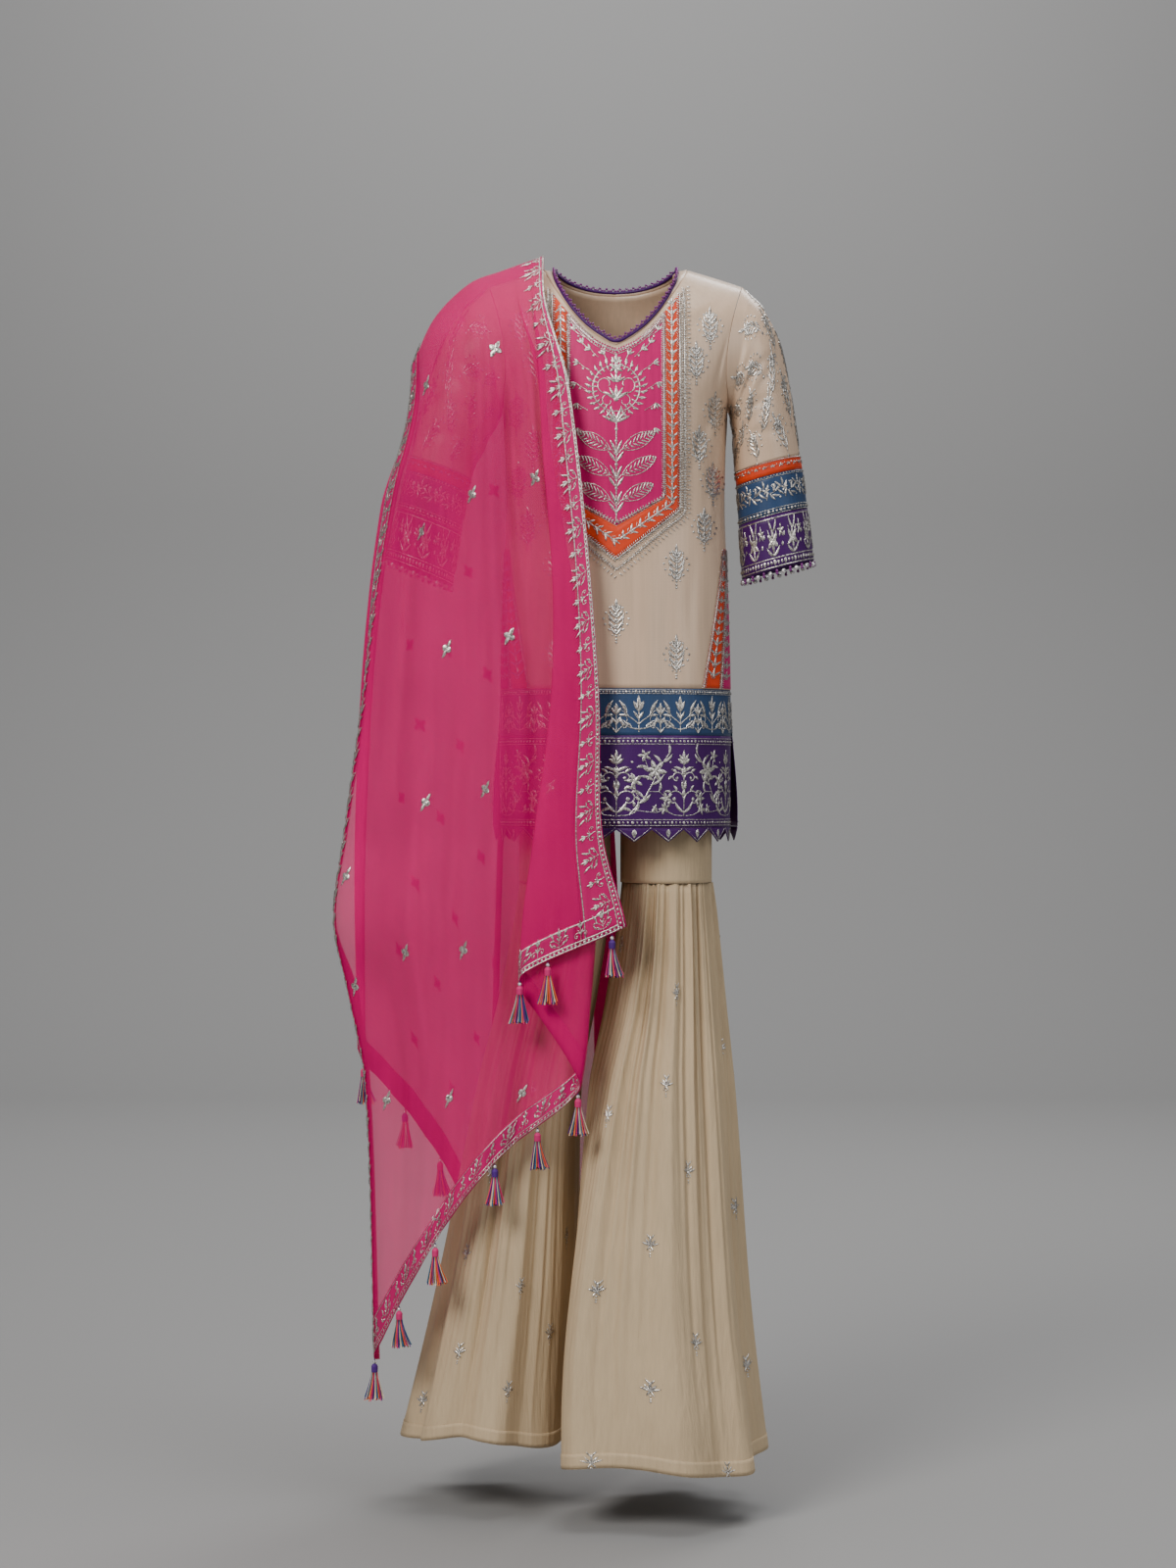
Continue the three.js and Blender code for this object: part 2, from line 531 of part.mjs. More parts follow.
// The ridge over the shoulder and the sleeve, and where each end's hem hangs, across u
const RIDGE = named(['u', 'x', 'z'], [
  [0, -88, 16], [0.2, -106, 10], [0.4, -140, -2], [0.6, -180, -18], [0.8, -222, -60], [1, -249, -118],
]);
const FRONT_HEM = named(['u', 'z'], [
  [0, -798], [0.16, -870], [0.3, -990], [0.5, -1080], [0.75, -1230], [0.95, -1325], [1, -1332],
]);
const BACK_HEM = named(['u', 'z'], [[0, -1290], [0.3, -1230], [0.6, -1090], [1, -960]]);
const ridgeX = column(RIDGE, 'x', 'u');
const ridgeZ = column(RIDGE, 'z', 'u');
const hemZ = { front: column(FRONT_HEM, 'z', 'u'), back: column(BACK_HEM, 'z', 'u') };
const DRAPE_ROLL = 62;
const DRAPE_FOLDS = named(['at', 'depth', 'width'], [
  [0.36, 7, 0.022], [0.45, -7, 0.024], [0.54, 8, 0.026],
  [0.63, -8, 0.026], [0.72, 7, 0.026], [0.8, -6, 0.024],
]);

function planPoint(side, u, z) {
  const table = side === 'front' ? FRONT_PLAN : BACK_PLAN;
  const read = (key) => column(table, key, 'z')(z);
  const sign = side === 'front' ? -1 : 1;
  const y = read('y');
  const layer = read('layer');
  const midX = mix(read('backX'), read('sideX'), 0.5);
  const midY = mix(y - sign * layer * 2, read('sideY'), 0.3) + sign * 6;
  const fold = read('foldX');
  const back = read('backX');
  const rows = named(['at', 'x', 'depth'], [
    [0, read('inX'), y],
    [0.13, fold + 6, y - sign * layer * 0.2],
    [0.155, fold, y - sign * layer * 0.55],
    [0.18, fold + 7, y - sign * layer],
    [0.28, back - 7, y - sign * layer * 1.1],
    [0.3, back, y - sign * layer * 1.6],
    [0.325, back - 7, y - sign * layer * 2.1],
    [0.6, midX, midY],
    [0.88, read('sideX') + 14, read('sideY') + sign * 6],
    [0.95, read('sideX'), read('sideY') * 0.6],
    [1, read('endX'), read('sideY') * (side === 'front' ? 0.2 : 0.75)],
  ]);
  return { x: column(rows, 'x', 'at')(u), y: column(rows, 'depth', 'at')(u) };
}

function drapePoint(side, u, share) {
  const top = ridgeZ(u);
  const z = mix(top, hemZ[side](u), share);
  const drop = top - z;
  const roll = drop < DRAPE_ROLL ? Math.sqrt(Math.max(0, 1 - (1 - drop / DRAPE_ROLL) ** 2)) : 1;
  const plan = planPoint(side, u, z);
  const ease = smooth(drop / 170);
  let fold = 0;
  for (const f of DRAPE_FOLDS) fold += f.depth * Math.exp(-(((u - f.at) / f.width) ** 2));
  const sign = side === 'front' ? -1 : 1;
  return new THREE.Vector3(
    mix(ridgeX(u), plan.x, ease),
    plan.y * roll + sign * fold * smooth(drop / 260) * 0.9,
    z,
  );
}
const ACROSS = [
  0, 0.03, 0.056, 0.065, 0.11, 0.145, 0.165, 0.2, 0.26, 0.29, 0.31, 0.34, 0.38, 0.42, 0.46, 0.5, 0.54, 0.58,
  0.62, 0.66, 0.7, 0.74, 0.78, 0.82, 0.86, 0.9, 0.93, 0.94, 0.97, 1,
];
const FRONT_ROWS = [1, 0.965, 0.9, 0.82, 0.73, 0.64, 0.55, 0.46, 0.37, 0.28, 0.19, 0.11, 0.05, 0.015];
const BACK_ROWS = [0.015, 0.05, 0.11, 0.21, 0.34, 0.5, 0.66, 0.82, 0.965, 1];
const drape = [
  ...FRONT_ROWS.map((share) => ACROSS.map((u) => drapePoint('front', u, share))),
  ACROSS.map((u) => drapePoint('front', u, 0)),
  ...BACK_ROWS.map((share) => ACROSS.map((u) => drapePoint('back', u, share))),
];
const drapeNormals = gridNormals(drape, false);
const LAST = drape.length - 1;
const FRONT_PROBE = { row: 6, col: 14 };
if (drapeNormals[FRONT_PROBE.row][FRONT_PROBE.col].y > 0) drapeNormals.flat().forEach((n) => n.negate());
addPiece('dupatta', wall(drape, drapeNormals, -SHEER / 2, SHEER / 2), 'sheer');

// Embroidered border strips, on the outer face along all four edges
const STRIP_COLUMNS = 2;
const STRIP_LIFT = 0.9;         // clears the sheet where its folds bend inward
const END = ACROSS.length - 1;
function strip(name, rowFrom, rowTo, colFrom, colTo) {
  const cut = (grid) => grid.slice(rowFrom, rowTo + 1).map((line) => line.slice(colFrom, colTo + 1));
  const near = SHEER / 2 + STRIP_LIFT;
  addPiece(name, wall(cut(drape), cut(drapeNormals), near, near + APPLIQUE), 'magenta');
}
strip('dupatta_border_inner', 0, LAST, 0, STRIP_COLUMNS);
strip('dupatta_border_outer', 0, LAST, END - STRIP_COLUMNS, END);
strip('dupatta_border_front', 0, 1, STRIP_COLUMNS + 1, END - STRIP_COLUMNS - 1);
strip('dupatta_border_back', LAST - 1, LAST, STRIP_COLUMNS + 1, END - STRIP_COLUMNS - 1);

// Tassels: a wound head with strands fused into it, hanging under the hem of each end
const TASSEL = {
  drop: 1.2,
  loopR: 0.8,
  loop: 6,
  headR: 4,
  headLength: 16,
  headSides: 5,
  shoulder: 3,
  strands: 4,
  strandLength: 36,
  strandR: 3.6,
  rootR: 0.9,
  rootAt: 2.4,
  spread: 9,
  flat: 0.6,
};
const TASSELS = named(['side', 'u', 'forward'], [
  ['front', 0.02, 5], ['front', 0.1, 5], ['front', 0.145, 9],
  ['front', 0.31, 0], ['front', 0.4, 0], ['front', 0.5, 0],
  ['front', 0.66, 0], ['front', 0.8, 0], ['front', 0.955, 0],
  ['back', 0.02, 3], ['back', 0.2, 0], ['back', 0.38, 0],
  ['back', 0.56, 0], ['back', 0.74, 0], ['back', 0.95, 0],
]);
const wasm = await Module();
wasm.setup();
function solidOf(geometry) {
  geometry.deleteAttribute('normal');
  geometry.deleteAttribute('uv');
  const merged = mergeVertices(geometry, 1e-3);
  return new wasm.Manifold(new wasm.Mesh({
    numProp: 3,
    vertProperties: new Float32Array(merged.attributes.position.array),
    triVerts: new Uint32Array(merged.index.array),
  }));
}
function tasselGeometry(at) {
  const { loopR, loop, headR, headLength, headSides, shoulder } = TASSEL;
  const { strands, strandLength, strandR, rootR, rootAt, spread, flat } = TASSEL;
  const outline = named(['r', 'y'], [
    [0, -headLength], [headR, -headLength], [headR, -loop - shoulder], [loopR, -loop], [loopR, -0.1], [0, 0],
  ]);
  const head = new THREE.LatheGeometry(outline.map(({ r, y }) => new THREE.Vector2(r, y)), headSides);
  head.rotateX(Math.PI / 2);
  let whole = solidOf(head);
  for (let k = 0; k < strands; k += 1) {
    const angle = (k + 0.5) / strands * 2 * Math.PI;
    const footZ = -headLength - strandLength;
    const foot = new THREE.Vector3(spread * Math.cos(angle), spread * flat * Math.sin(angle), footZ);
    const root = new THREE.Vector3(rootAt * Math.cos(angle), rootAt * Math.sin(angle), -headLength + 1);
    const strand = new THREE.CylinderGeometry(rootR, strandR, root.distanceTo(foot), 3);
    strand.applyQuaternion(new THREE.Quaternion().setFromUnitVectors(
      new THREE.Vector3(0, 1, 0), root.clone().sub(foot).normalize()));
    strand.translate(...root.clone().lerp(foot, 0.5).toArray());
    whole = whole.add(solidOf(strand));
  }
  const mesh = whole.getMesh();
  const geometry = new THREE.BufferGeometry();
  geometry.setAttribute('position', new THREE.Float32BufferAttribute(mesh.vertProperties, 3));
  geometry.setIndex([...mesh.triVerts]);
  geometry.translate(...at.toArray());
  return geometry;
}
TASSELS.forEach((tassel, k) => {
  const edge = drapePoint(tassel.side, tassel.u, 1);
  edge.y += (tassel.side === 'front' ? -1 : 1) * tassel.forward;
  edge.z -= TASSEL.drop;
  addPiece(`tassel_${String(k + 1).padStart(2, '0')}`, tasselGeometry(edge), 'purple');
});

export default suit;
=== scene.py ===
"""Looks of the sharara suit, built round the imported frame. Metres; the form's tables are in millimetres."""
import math

import bpy
import numpy as np
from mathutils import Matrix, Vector


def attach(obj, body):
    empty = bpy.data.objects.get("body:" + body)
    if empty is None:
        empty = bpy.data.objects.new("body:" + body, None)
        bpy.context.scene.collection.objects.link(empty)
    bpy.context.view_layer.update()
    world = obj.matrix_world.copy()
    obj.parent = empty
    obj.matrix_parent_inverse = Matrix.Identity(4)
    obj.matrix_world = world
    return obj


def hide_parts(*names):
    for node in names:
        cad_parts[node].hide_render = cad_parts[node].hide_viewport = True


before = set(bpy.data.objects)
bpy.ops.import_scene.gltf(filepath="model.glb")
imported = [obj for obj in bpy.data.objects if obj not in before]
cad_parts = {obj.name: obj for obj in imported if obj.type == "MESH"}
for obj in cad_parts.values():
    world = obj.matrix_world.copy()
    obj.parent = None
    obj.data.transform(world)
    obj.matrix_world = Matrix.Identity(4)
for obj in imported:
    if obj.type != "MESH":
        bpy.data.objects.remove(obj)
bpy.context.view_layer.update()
MM = 0.001

# Sizes of the form, as in the part's source
CLOTH, SEAM = 1.6, 0.3
NECK_HALF, TIP_X, TIP_Z, ARMPIT_Z, SHOULDER_ROLL = 83, 150, -22, -175, 70
BODY_END_Z, BLUE_END_Z, PURPLE_END_Z = -516, -572, -682
POINT_DROP, POINT_COUNT, SLIT_TOP_Z, SECTION_POWER, SEAM_EASE = 15, 10, -520, 2.3, 1.5


def table(names, rows):
    """Columns of a table as arrays, by name."""
    values = np.array(rows, float)
    return {name: values[:, k] for k, name in enumerate(names.split())}


def hermite(at, values, x):
    """A smooth curve through (at, values) at x. values may hold one array for each row."""
    x = np.asarray(x, float)
    at = np.asarray(at, float)
    rows = [np.broadcast_to(np.asarray(v, float), x.shape) for v in values]
    stack = np.stack(rows)
    last = len(at) - 1
    slope = np.stack([(stack[min(last, k + 1)] - stack[max(0, k - 1)])
                      / (at[min(last, k + 1)] - at[max(0, k - 1)]) for k in range(last + 1)])
    held = np.clip(x, at[0], at[-1])
    k = np.clip(np.searchsorted(at, held, side="right") - 1, 0, last - 1)
    span = at[k + 1] - at[k]
    t = (held - at[k]) / span

    def pick(a, i):
        return np.take_along_axis(a, i[None], 0)[0]

    h0, h1 = 2 * t**3 - 3 * t**2 + 1, t**3 - 2 * t**2 + t
    return (h0 * pick(stack, k) + h1 * span * pick(slope, k)
            + (1 - h0) * pick(stack, k + 1) + (t**3 - t**2) * span * pick(slope, k + 1))


def column(rows, key, by):
    order = np.argsort(rows[by])
    at, values = rows[by][order], rows[key][order]
    return lambda x: hermite(at, values, x)


def smooth(t):
    t = np.clip(t, 0, 1)
    return t * t * (3 - 2 * t)


def mix(a, b, t):
    return a + (b - a) * t


# Kurta body
BODY = table("z half edge front back", [
    [-10, 196, 158, 60, 62], [-60, 182, 143, 84, 78], [-100, 168, 135, 98, 86], [-140, 152, 133, 106, 88],
    [-175, 137, 137, 110, 86], [-230, 134.6, 134.6, 110, 82], [-300, 133.6, 133.6, 105, 80],
    [-400, 137.6, 137.6, 108, 92], [-516, 140.6, 140.6, 112, 104], [-600, 140.6, 140.6, 113, 108],
    [-700, 139.6, 139.6, 114, 112]])
body_half, body_edge = column(BODY, "half", "z"), column(BODY, "edge", "z")
body_depth = {"front": column(BODY, "front", "z"), "back": column(BODY, "back", "z")}
NECKLINE = {"front": table("x z", [[0, -106], [26, -93], [53, -66], [74, -30], [NECK_HALF, -1]]),
            "back": table("x z", [[0, -24], [30, -22], [60, -14], [NECK_HALF, -1]])}
neck_z = {side: column(NECKLINE[side], "z", "x") for side in NECKLINE}
BODY_FOLDS = {"front": [(-38, 5, 9, -330), (-6, 4, 10, -380), (27, 5, 9, -340), (56, 4, 8, -300)],
              "back": [(-50, 5, 10, -300), (-15, 6, 12, -330), (20, 5, 10, -300), (52, 5, 9, -340)]}
# Creases that only the fine cloth has: turn and z of the middle, lean (degrees), length, width and depth
BODY_CREASES = {"front": [(52, -205, 62, 95, 9, 2.6), (60, -250, 70, 80, 8, 2.0), (66, -300, 82, 90, 7, 2.2),
                          (40, -420, 88, 120, 9, 1.8), (8, -440, 92, 140, 10, 1.6),
                          (-20, -450, 86, 120, 9, 1.8), (-60, -240, -66, 90, 9, 2.2),
                          (48, -70, 34, 60, 7, 1.8), (70, -130, 58, 60, 6, 2.2)],
                "back": [(55, -190, 120, 100, 9, 2.4), (-55, -200, 62, 100, 9, 2.4),
                         (0, -320, 88, 150, 12, 2.4), (30, -420, 92, 130, 10, 2.0),
                         (-32, -400, 86, 140, 10, 2.2), (0, -120, 90, 90, 10, 1.6)]}


def seam_z(x):
    return -1 + (TIP_Z + 1) * (np.abs(x) - NECK_HALF) / (TIP_X - NECK_HALF)


def crease_depth(creases, s, z, per_turn):
    """Soft troughs at listed places, in millimetres."""
    total = np.zeros(np.broadcast(s, z).shape)
    for turn, mid_z, lean, length, width, depth in creases:
        a = math.radians(lean)
        ds, dz = s - turn * per_turn, z - mid_z
        along, over = ds * math.cos(a) + dz * math.sin(a), -ds * math.sin(a) + dz * math.cos(a)
        over = over + 0.0012 * along**2
        total += depth * np.exp(-((over / width) ** 2) - ((2 * along / length) ** 2))
    return total


BODY_MM_PER_TURN = 2.2


def body_point(side, turn, z, fine=True):
    turn, z = np.broadcast_arrays(np.asarray(turn, float), np.asarray(z, float))
    sign = -1 if side == "front" else 1
    slit = 10 * smooth((SLIT_TOP_Z - z) / 150) if side == "back" else 0 * z
    x = (body_edge(z) + slit) * np.sin(np.radians(turn))
    across = np.clip(np.abs(x) / (body_half(z) + slit), 0, 1)
    rounding = (1 - across**SECTION_POWER) ** (1 / SECTION_POWER)
    drop = np.maximum(0, seam_z(x) - z)
    roll = np.where(drop < SHOULDER_ROLL, np.sqrt(np.maximum(0, 1 - (1 - drop / SHOULDER_ROLL) ** 2)), 1)
    fold = sum(depth * smooth((start - z) / 160) * np.exp(-(((turn - at) / width) ** 2))
               for at, depth, width, start in BODY_FOLDS[side])
    gape = 4 * smooth((SLIT_TOP_Z - z) / 120)
    y = (body_depth[side](z) - fold) * rounding * roll + SEAM / 2 + SEAM_EASE + gape
    if fine:
        y = y - crease_depth(BODY_CREASES[side], turn * BODY_MM_PER_TURN, z, BODY_MM_PER_TURN) * roll
    return np.stack([x, sign * y, z], -1)


def top_z(side, turn):
    x = TIP_X * np.abs(np.sin(np.radians(turn)))
    return np.where(x < NECK_HALF, neck_z[side](x), seam_z(x))


# Sleeves
SLEEVE_NAMES = "t outX outZ inX inZ depth"
SLEEVES = {"left": table(SLEEVE_NAMES, [
    [0.10, 163, -31, 139.5, -180, 60], [0.22, 180, -48, 141, -186, 62], [0.38, 200, -88, 143, -198, 61],
    [0.55, 213, -145, 144, -214, 57], [0.70, 221, -196, 145, -232, 53], [0.80, 226, -229, 146, -250, 51],
    [0.85, 229, -247, 148, -268, 50], [1, 243, -357, 155, -380, 47]]),
    "right": table(SLEEVE_NAMES, [
    [0.10, 163, -31, 139.5, -180, 60], [0.22, 184, -48, 144, -188, 62], [0.38, 210, -88, 152, -202, 61],
    [0.55, 230, -145, 162, -222, 57], [0.70, 244, -196, 171, -240, 53], [0.80, 252, -230, 177, -258, 51],
    [0.85, 257, -248, 181, -276, 50], [1, 281, -355, 200, -388, 47]])}
ARMHOLE_GAP = 0.9
CUFF_GAP = 0.0004
SLEEVE_SPANS = [("sleeve", 0, 0.80), ("cuff_orange", 0.80, 0.847), ("cuff_blue", 0.847, 0.915),
                ("cuff_purple", 0.915, 1)]
SLEEVE_CREASES = [(0.30, 60, 5), (0.42, 110, 4), (0.52, 50, 4), (0.36, 250, 5)]
# The fine cloth's own creases: t, middle (degrees), lean, depth, width
SLEEVE_FINE = [(0.20, 70, 0.5, 2.2, 15), (0.33, 95, 0.8, 2.6, 14), (0.46, 72, 0.7, 2.4, 13),
               (0.6, 60, 0.6, 1.8, 12), (0.26, 290, -0.6, 2.4, 14), (0.5, 270, -0.5, 2.0, 13),
               (0.68, 110, 0.4, 1.4, 12)]


def sleeve_point(hand, t, angle):
    """angle in degrees: 0 at the inner seam, 90 in front, 180 on top."""
    t, angle = np.broadcast_arrays(np.asarray(t, float), np.asarray(angle, float))
    rows = SLEEVES[hand]
    read = lambda key: column(rows, key, "t")(np.maximum(t, rows["t"][0]))
    a = np.radians(angle)
    share = (1 - np.cos(a)) / 2
    turned = np.mod(angle, 360)
    crease = sum(depth * np.exp(-(((turned - at) / 32) ** 2) - (((t - mid) / 0.05) ** 2))
                 for mid, at, depth in SLEEVE_CREASES)
    for mid, at, lean, depth, width in SLEEVE_FINE:
        off = (turned - at) / width
        crease = crease + depth * np.exp(-(off / 2.2) ** 2 - (((t - mid) / 0.03 - lean * off) ** 2))
    ring = np.stack([mix(read("inX"), read("outX"), share), -(read("depth") - crease) * np.sin(a),
                     mix(read("inZ"), read("outZ"), share)], -1)
    z = mix(ARMPIT_Z, TIP_Z, share)
    front, back = body_point("front", 90, z, False), body_point("back", 90, z, False)
    hole = np.where((np.sin(a) >= 0)[..., None], front, back)
    hole[..., 0] += ARMHOLE_GAP
    blend = smooth(t / rows["t"][0] * 0.9)[..., None]
    out = mix(hole, ring, blend)
    if hand == "right":
        out[..., 0] *= -1
    return out


# Sharara
WAIST_Z, BAND_FOOT_Z, CROTCH_Z, GATHER_Z = -430, -462, -585, -750
HIP = table("z half depth", [[-430, 100, 72], [-480, 112, 80], [-560, 122, 88], [-640, 124, 88],
                             [-760, 122, 82]])
hip_half, hip_depth = column(HIP, "half", "z"), column(HIP, "depth", "z")
LEG_MIDDLE, LEG_X, LEG_Y = 62, 56, 74
FLARE_NAMES = "z x y halfX halfY"
FLARES = {"left": table(FLARE_NAMES, [
    [-750, 62, 0, 54, 72], [-790, 61, 0, 57, 76], [-900, 57, -4, 70, 88], [-1000, 53, -8, 83, 98],
    [-1250, 61, -14, 92, 122], [-1444, 74, -18, 102, 146]]),
    "right": table(FLARE_NAMES, [
    [-750, -62, 0, 54, 72], [-790, -65, 2, 56, 76], [-900, -84, 12, 58, 88], [-1000, -105, 24, 62, 98],
    [-1250, -132, 42, 86, 120], [-1424, -154, 52, 104, 138]])}
GATHERS, BIG_FOLDS = 18, 9
FLARE_ROWS, FLARE_COLS = 60, 385
FINE_GATHERS, FINEST_GATHERS = 47, 83     # small tucks that only the fine cloth has
LAP_REACH, LAP_AT, LAP_WIDTH, LAP_FROM = 72, 235, 38, 0.1
DEPTHS = table("share gather fold fine", [[0, 1.6, 0, 1.6], [0.06, 3, 0.5, 3.0], [0.35, 3.4, 3, 2.5],
                                          [0.7, 2.6, 6, 1.5], [0.93, 1.2, 8, 0.5], [1, 0.8, 9, 0.1]])
gather_depth, fold_swing, fine_depth = (column(DEPTHS, key, "share") for key in ("gather", "fold", "fine"))


def band_point(z, degrees):
    z, a = np.broadcast_arrays(np.asarray(z, float), np.radians(degrees))
    return np.stack([hip_half(z) * np.cos(a), hip_depth(z) * np.sin(a), z], -1)


def upper_point(hand, z, s):
    z, s = np.broadcast_arrays(np.asarray(z, float), np.asarray(s, float))
    fork = smooth((BAND_FOOT_Z - z) / (BAND_FOOT_Z - CROTCH_Z))
    half, leg = np.radians(mix(-90, 90, s)), np.radians(mix(-179.6, 179.6, s))
    x = mix(hip_half(z) * np.cos(half) + 2, LEG_MIDDLE + LEG_X * np.cos(leg), fork)
    y = mix(hip_depth(z) * np.sin(half), LEG_Y * np.sin(leg), fork)
    return np.stack([x if hand == "left" else -x, y, z], -1)


def flare_point(hand, share, degrees):
    share, angle = np.broadcast_arrays(np.asarray(share, float), np.radians(degrees))
    rows = FLARES[hand]
    z = mix(rows["z"][0] - SEAM, rows["z"][-1], share)
    read = lambda key: column(rows, key, "z")(z)
    inner = -np.cos(angle) if hand == "left" else np.cos(angle)
    calm = 1 - 0.75 * smooth((inner - 0.2) / 0.6)
    uneven = 1 + 0.35 * np.sin(angle * 3 + 1)
    drift = 0.35 * np.sin(2.3 * share + 5 * angle) * share
    tucks = np.cos(FINE_GATHERS * angle + 2.2 * np.sin(3 * angle) + drift * 4)
    tucks = tucks * (0.7 + 0.5 * np.sin(7 * angle + 2))
    finest = np.cos(FINEST_GATHERS * angle + 3 * np.sin(4 * angle + 1) - drift * 5)
    tucks = tucks + 0.45 * finest * (0.6 + 0.6 * np.sin(5 * angle))
    phase = 0 if hand == "left" else 1.3
    wave = (gather_depth(share) * uneven * np.cos(GATHERS * angle)
            + fold_swing(share) * np.cos(BIG_FOLDS * angle + 0.6 * np.sin(2 * angle) + phase)
            + fine_depth(share) * tucks) * calm
    hem = share * share * 8 * np.sin(3 * angle + 0.8)
    off = (np.mod(np.degrees(angle), 360) - LAP_AT) / LAP_WIDTH
    reach = LAP_REACH if hand == "left" else 0
    lap = reach * smooth((share - LAP_FROM) / (1 - LAP_FROM)) * np.exp(-off * off)
    return np.stack([read("x") + (read("halfX") + wave) * np.cos(angle) - lap,
                     read("y") + (read("halfY") + wave) * np.sin(angle), z + hem], -1)


# Dupatta
PLAN_NAMES = "z inX foldX backX sideX endX y layer sideY"
PLANS = {"front": table(PLAN_NAMES, [
    [30, -88, -104, -112, -214, -238, -40, 3, -22], [-40, -82, -100, -108, -214, -242, -92, 3.5, -34],
    [-100, -66, -94, -92, -232, -250, -122, 4, -56], [-230, -46, -88, -78, -262, -272, -134, 8, -50],
    [-390, -30, -76, -52, -291, -296, -140, 11, -34], [-530, -20, -78, -30, -308, -306, -144, 12, -30],
    [-690, -16, -98, -22, -330, -328, -146, 12, -30], [-798, 12, -112, -24, -342, -342, -148, 12, -40],
    [-880, 20, -114, -30, -326, -316, -148, 12, -30], [-996, 20, -112, -44, -304, -300, -148, 12, -40],
    [-1340, 20, -112, -150, -292, -288, -152, 10, -60]]),
    "back": table(PLAN_NAMES, [
    [30, -88, -104, -112, -214, -238, 40, 0, 30], [-40, -82, -104, -116, -214, -246, 92, 0, 42],
    [-100, -66, -104, -124, -236, -258, 112, 0, 66], [-390, -30, -84, -130, -290, -304, 122, 0, 60],
    [-690, 0, -76, -140, -310, -322, 142, 0, 62], [-1000, 10, -76, -150, -312, -320, 176, 0, 96],
    [-1340, 16, -76, -160, -316, -322, 232, 0, 140]])}
RIDGE = table("u x z", [[0, -88, 16], [0.2, -106, 10], [0.4, -140, -2], [0.6, -180, -18], [0.8, -222, -60],
                        [1, -249, -118]])
HEMS = {"front": table("u z", [[0, -798], [0.16, -870], [0.3, -990], [0.5, -1080], [0.75, -1230],
                               [0.95, -1325], [1, -1332]]),
        "back": table("u z", [[0, -1290], [0.3, -1230], [0.6, -1090], [1, -960]])}
ridge_x, ridge_z = column(RIDGE, "x", "u"), column(RIDGE, "z", "u")
hem_z = {side: column(HEMS[side], "z", "u") for side in HEMS}
DRAPE_ROLL = 62
DRAPE_FOLDS = [(0.36, 7, 0.022), (0.45, -7, 0.024), (0.54, 8, 0.026), (0.63, -8, 0.026), (0.72, 7, 0.026),
               (0.8, -6, 0.024)]
STRIP_LIFT = 0.9
PLAN_AT = [0, 0.13, 0.155, 0.18, 0.28, 0.3, 0.325, 0.6, 0.88, 0.95, 1]


def plan_point(side, u, z):
    rows = PLANS[side]
    v = {key: column(rows, key, "z")(z) for key in PLAN_NAMES.split()[1:]}
    sign = -1 if side == "front" else 1
    y, layer = v["y"], v["layer"]
    mid_x = mix(v["backX"], v["sideX"], 0.5)
    mid_y = mix(y - sign * layer * 2, v["sideY"], 0.3) + sign * 6
    xs = [v["inX"], v["foldX"] + 6, v["foldX"], v["foldX"] + 7, v["backX"] - 7, v["backX"], v["backX"] - 7,
          mid_x, v["sideX"] + 14, v["sideX"], v["endX"]]
    ys = [y, y - sign * layer * 0.2, y - sign * layer * 0.55, y - sign * layer, y - sign * layer * 1.1,
          y - sign * layer * 1.6, y - sign * layer * 2.1, mid_y, v["sideY"] + sign * 6, v["sideY"] * 0.6,
          v["sideY"] * (0.2 if side == "front" else 0.75)]
    return hermite(PLAN_AT, xs, u), hermite(PLAN_AT, ys, u)


def drape_point(side, u, share, fine=True):
    u, share = np.broadcast_arrays(np.asarray(u, float), np.asarray(share, float))
    top = ridge_z(u)
    z = mix(top, hem_z[side](u), share)
    drop = top - z
    roll = np.where(drop < DRAPE_ROLL, np.sqrt(np.maximum(0, 1 - (1 - drop / DRAPE_ROLL) ** 2)), 1)
    x, y = plan_point(side, u, z)
    ease = smooth(drop / 170)
    fold = sum(depth * np.exp(-(((u - at) / width) ** 2)) for at, depth, width in DRAPE_FOLDS)
    sign = -1 if side == "front" else 1
    swing = 0.9 * fold
    if fine:
        lean = u + 0.035 * np.sin(drop / 260 + 4 * u)
        ripple = 1.3 * np.sin(43 * lean + 1.6 * np.sin(11 * u))
        ripple = ripple + 0.7 * np.sin(79 * lean + 2 * np.sin(7 * u + drop / 300))
        swing = swing + ripple * smooth((u - 0.36) / 0.06) * smooth((0.93 - u) / 0.06)
    return np.stack([mix(ridge_x(u), x, ease), y * roll + sign * swing * smooth(drop / 260), z], -1)


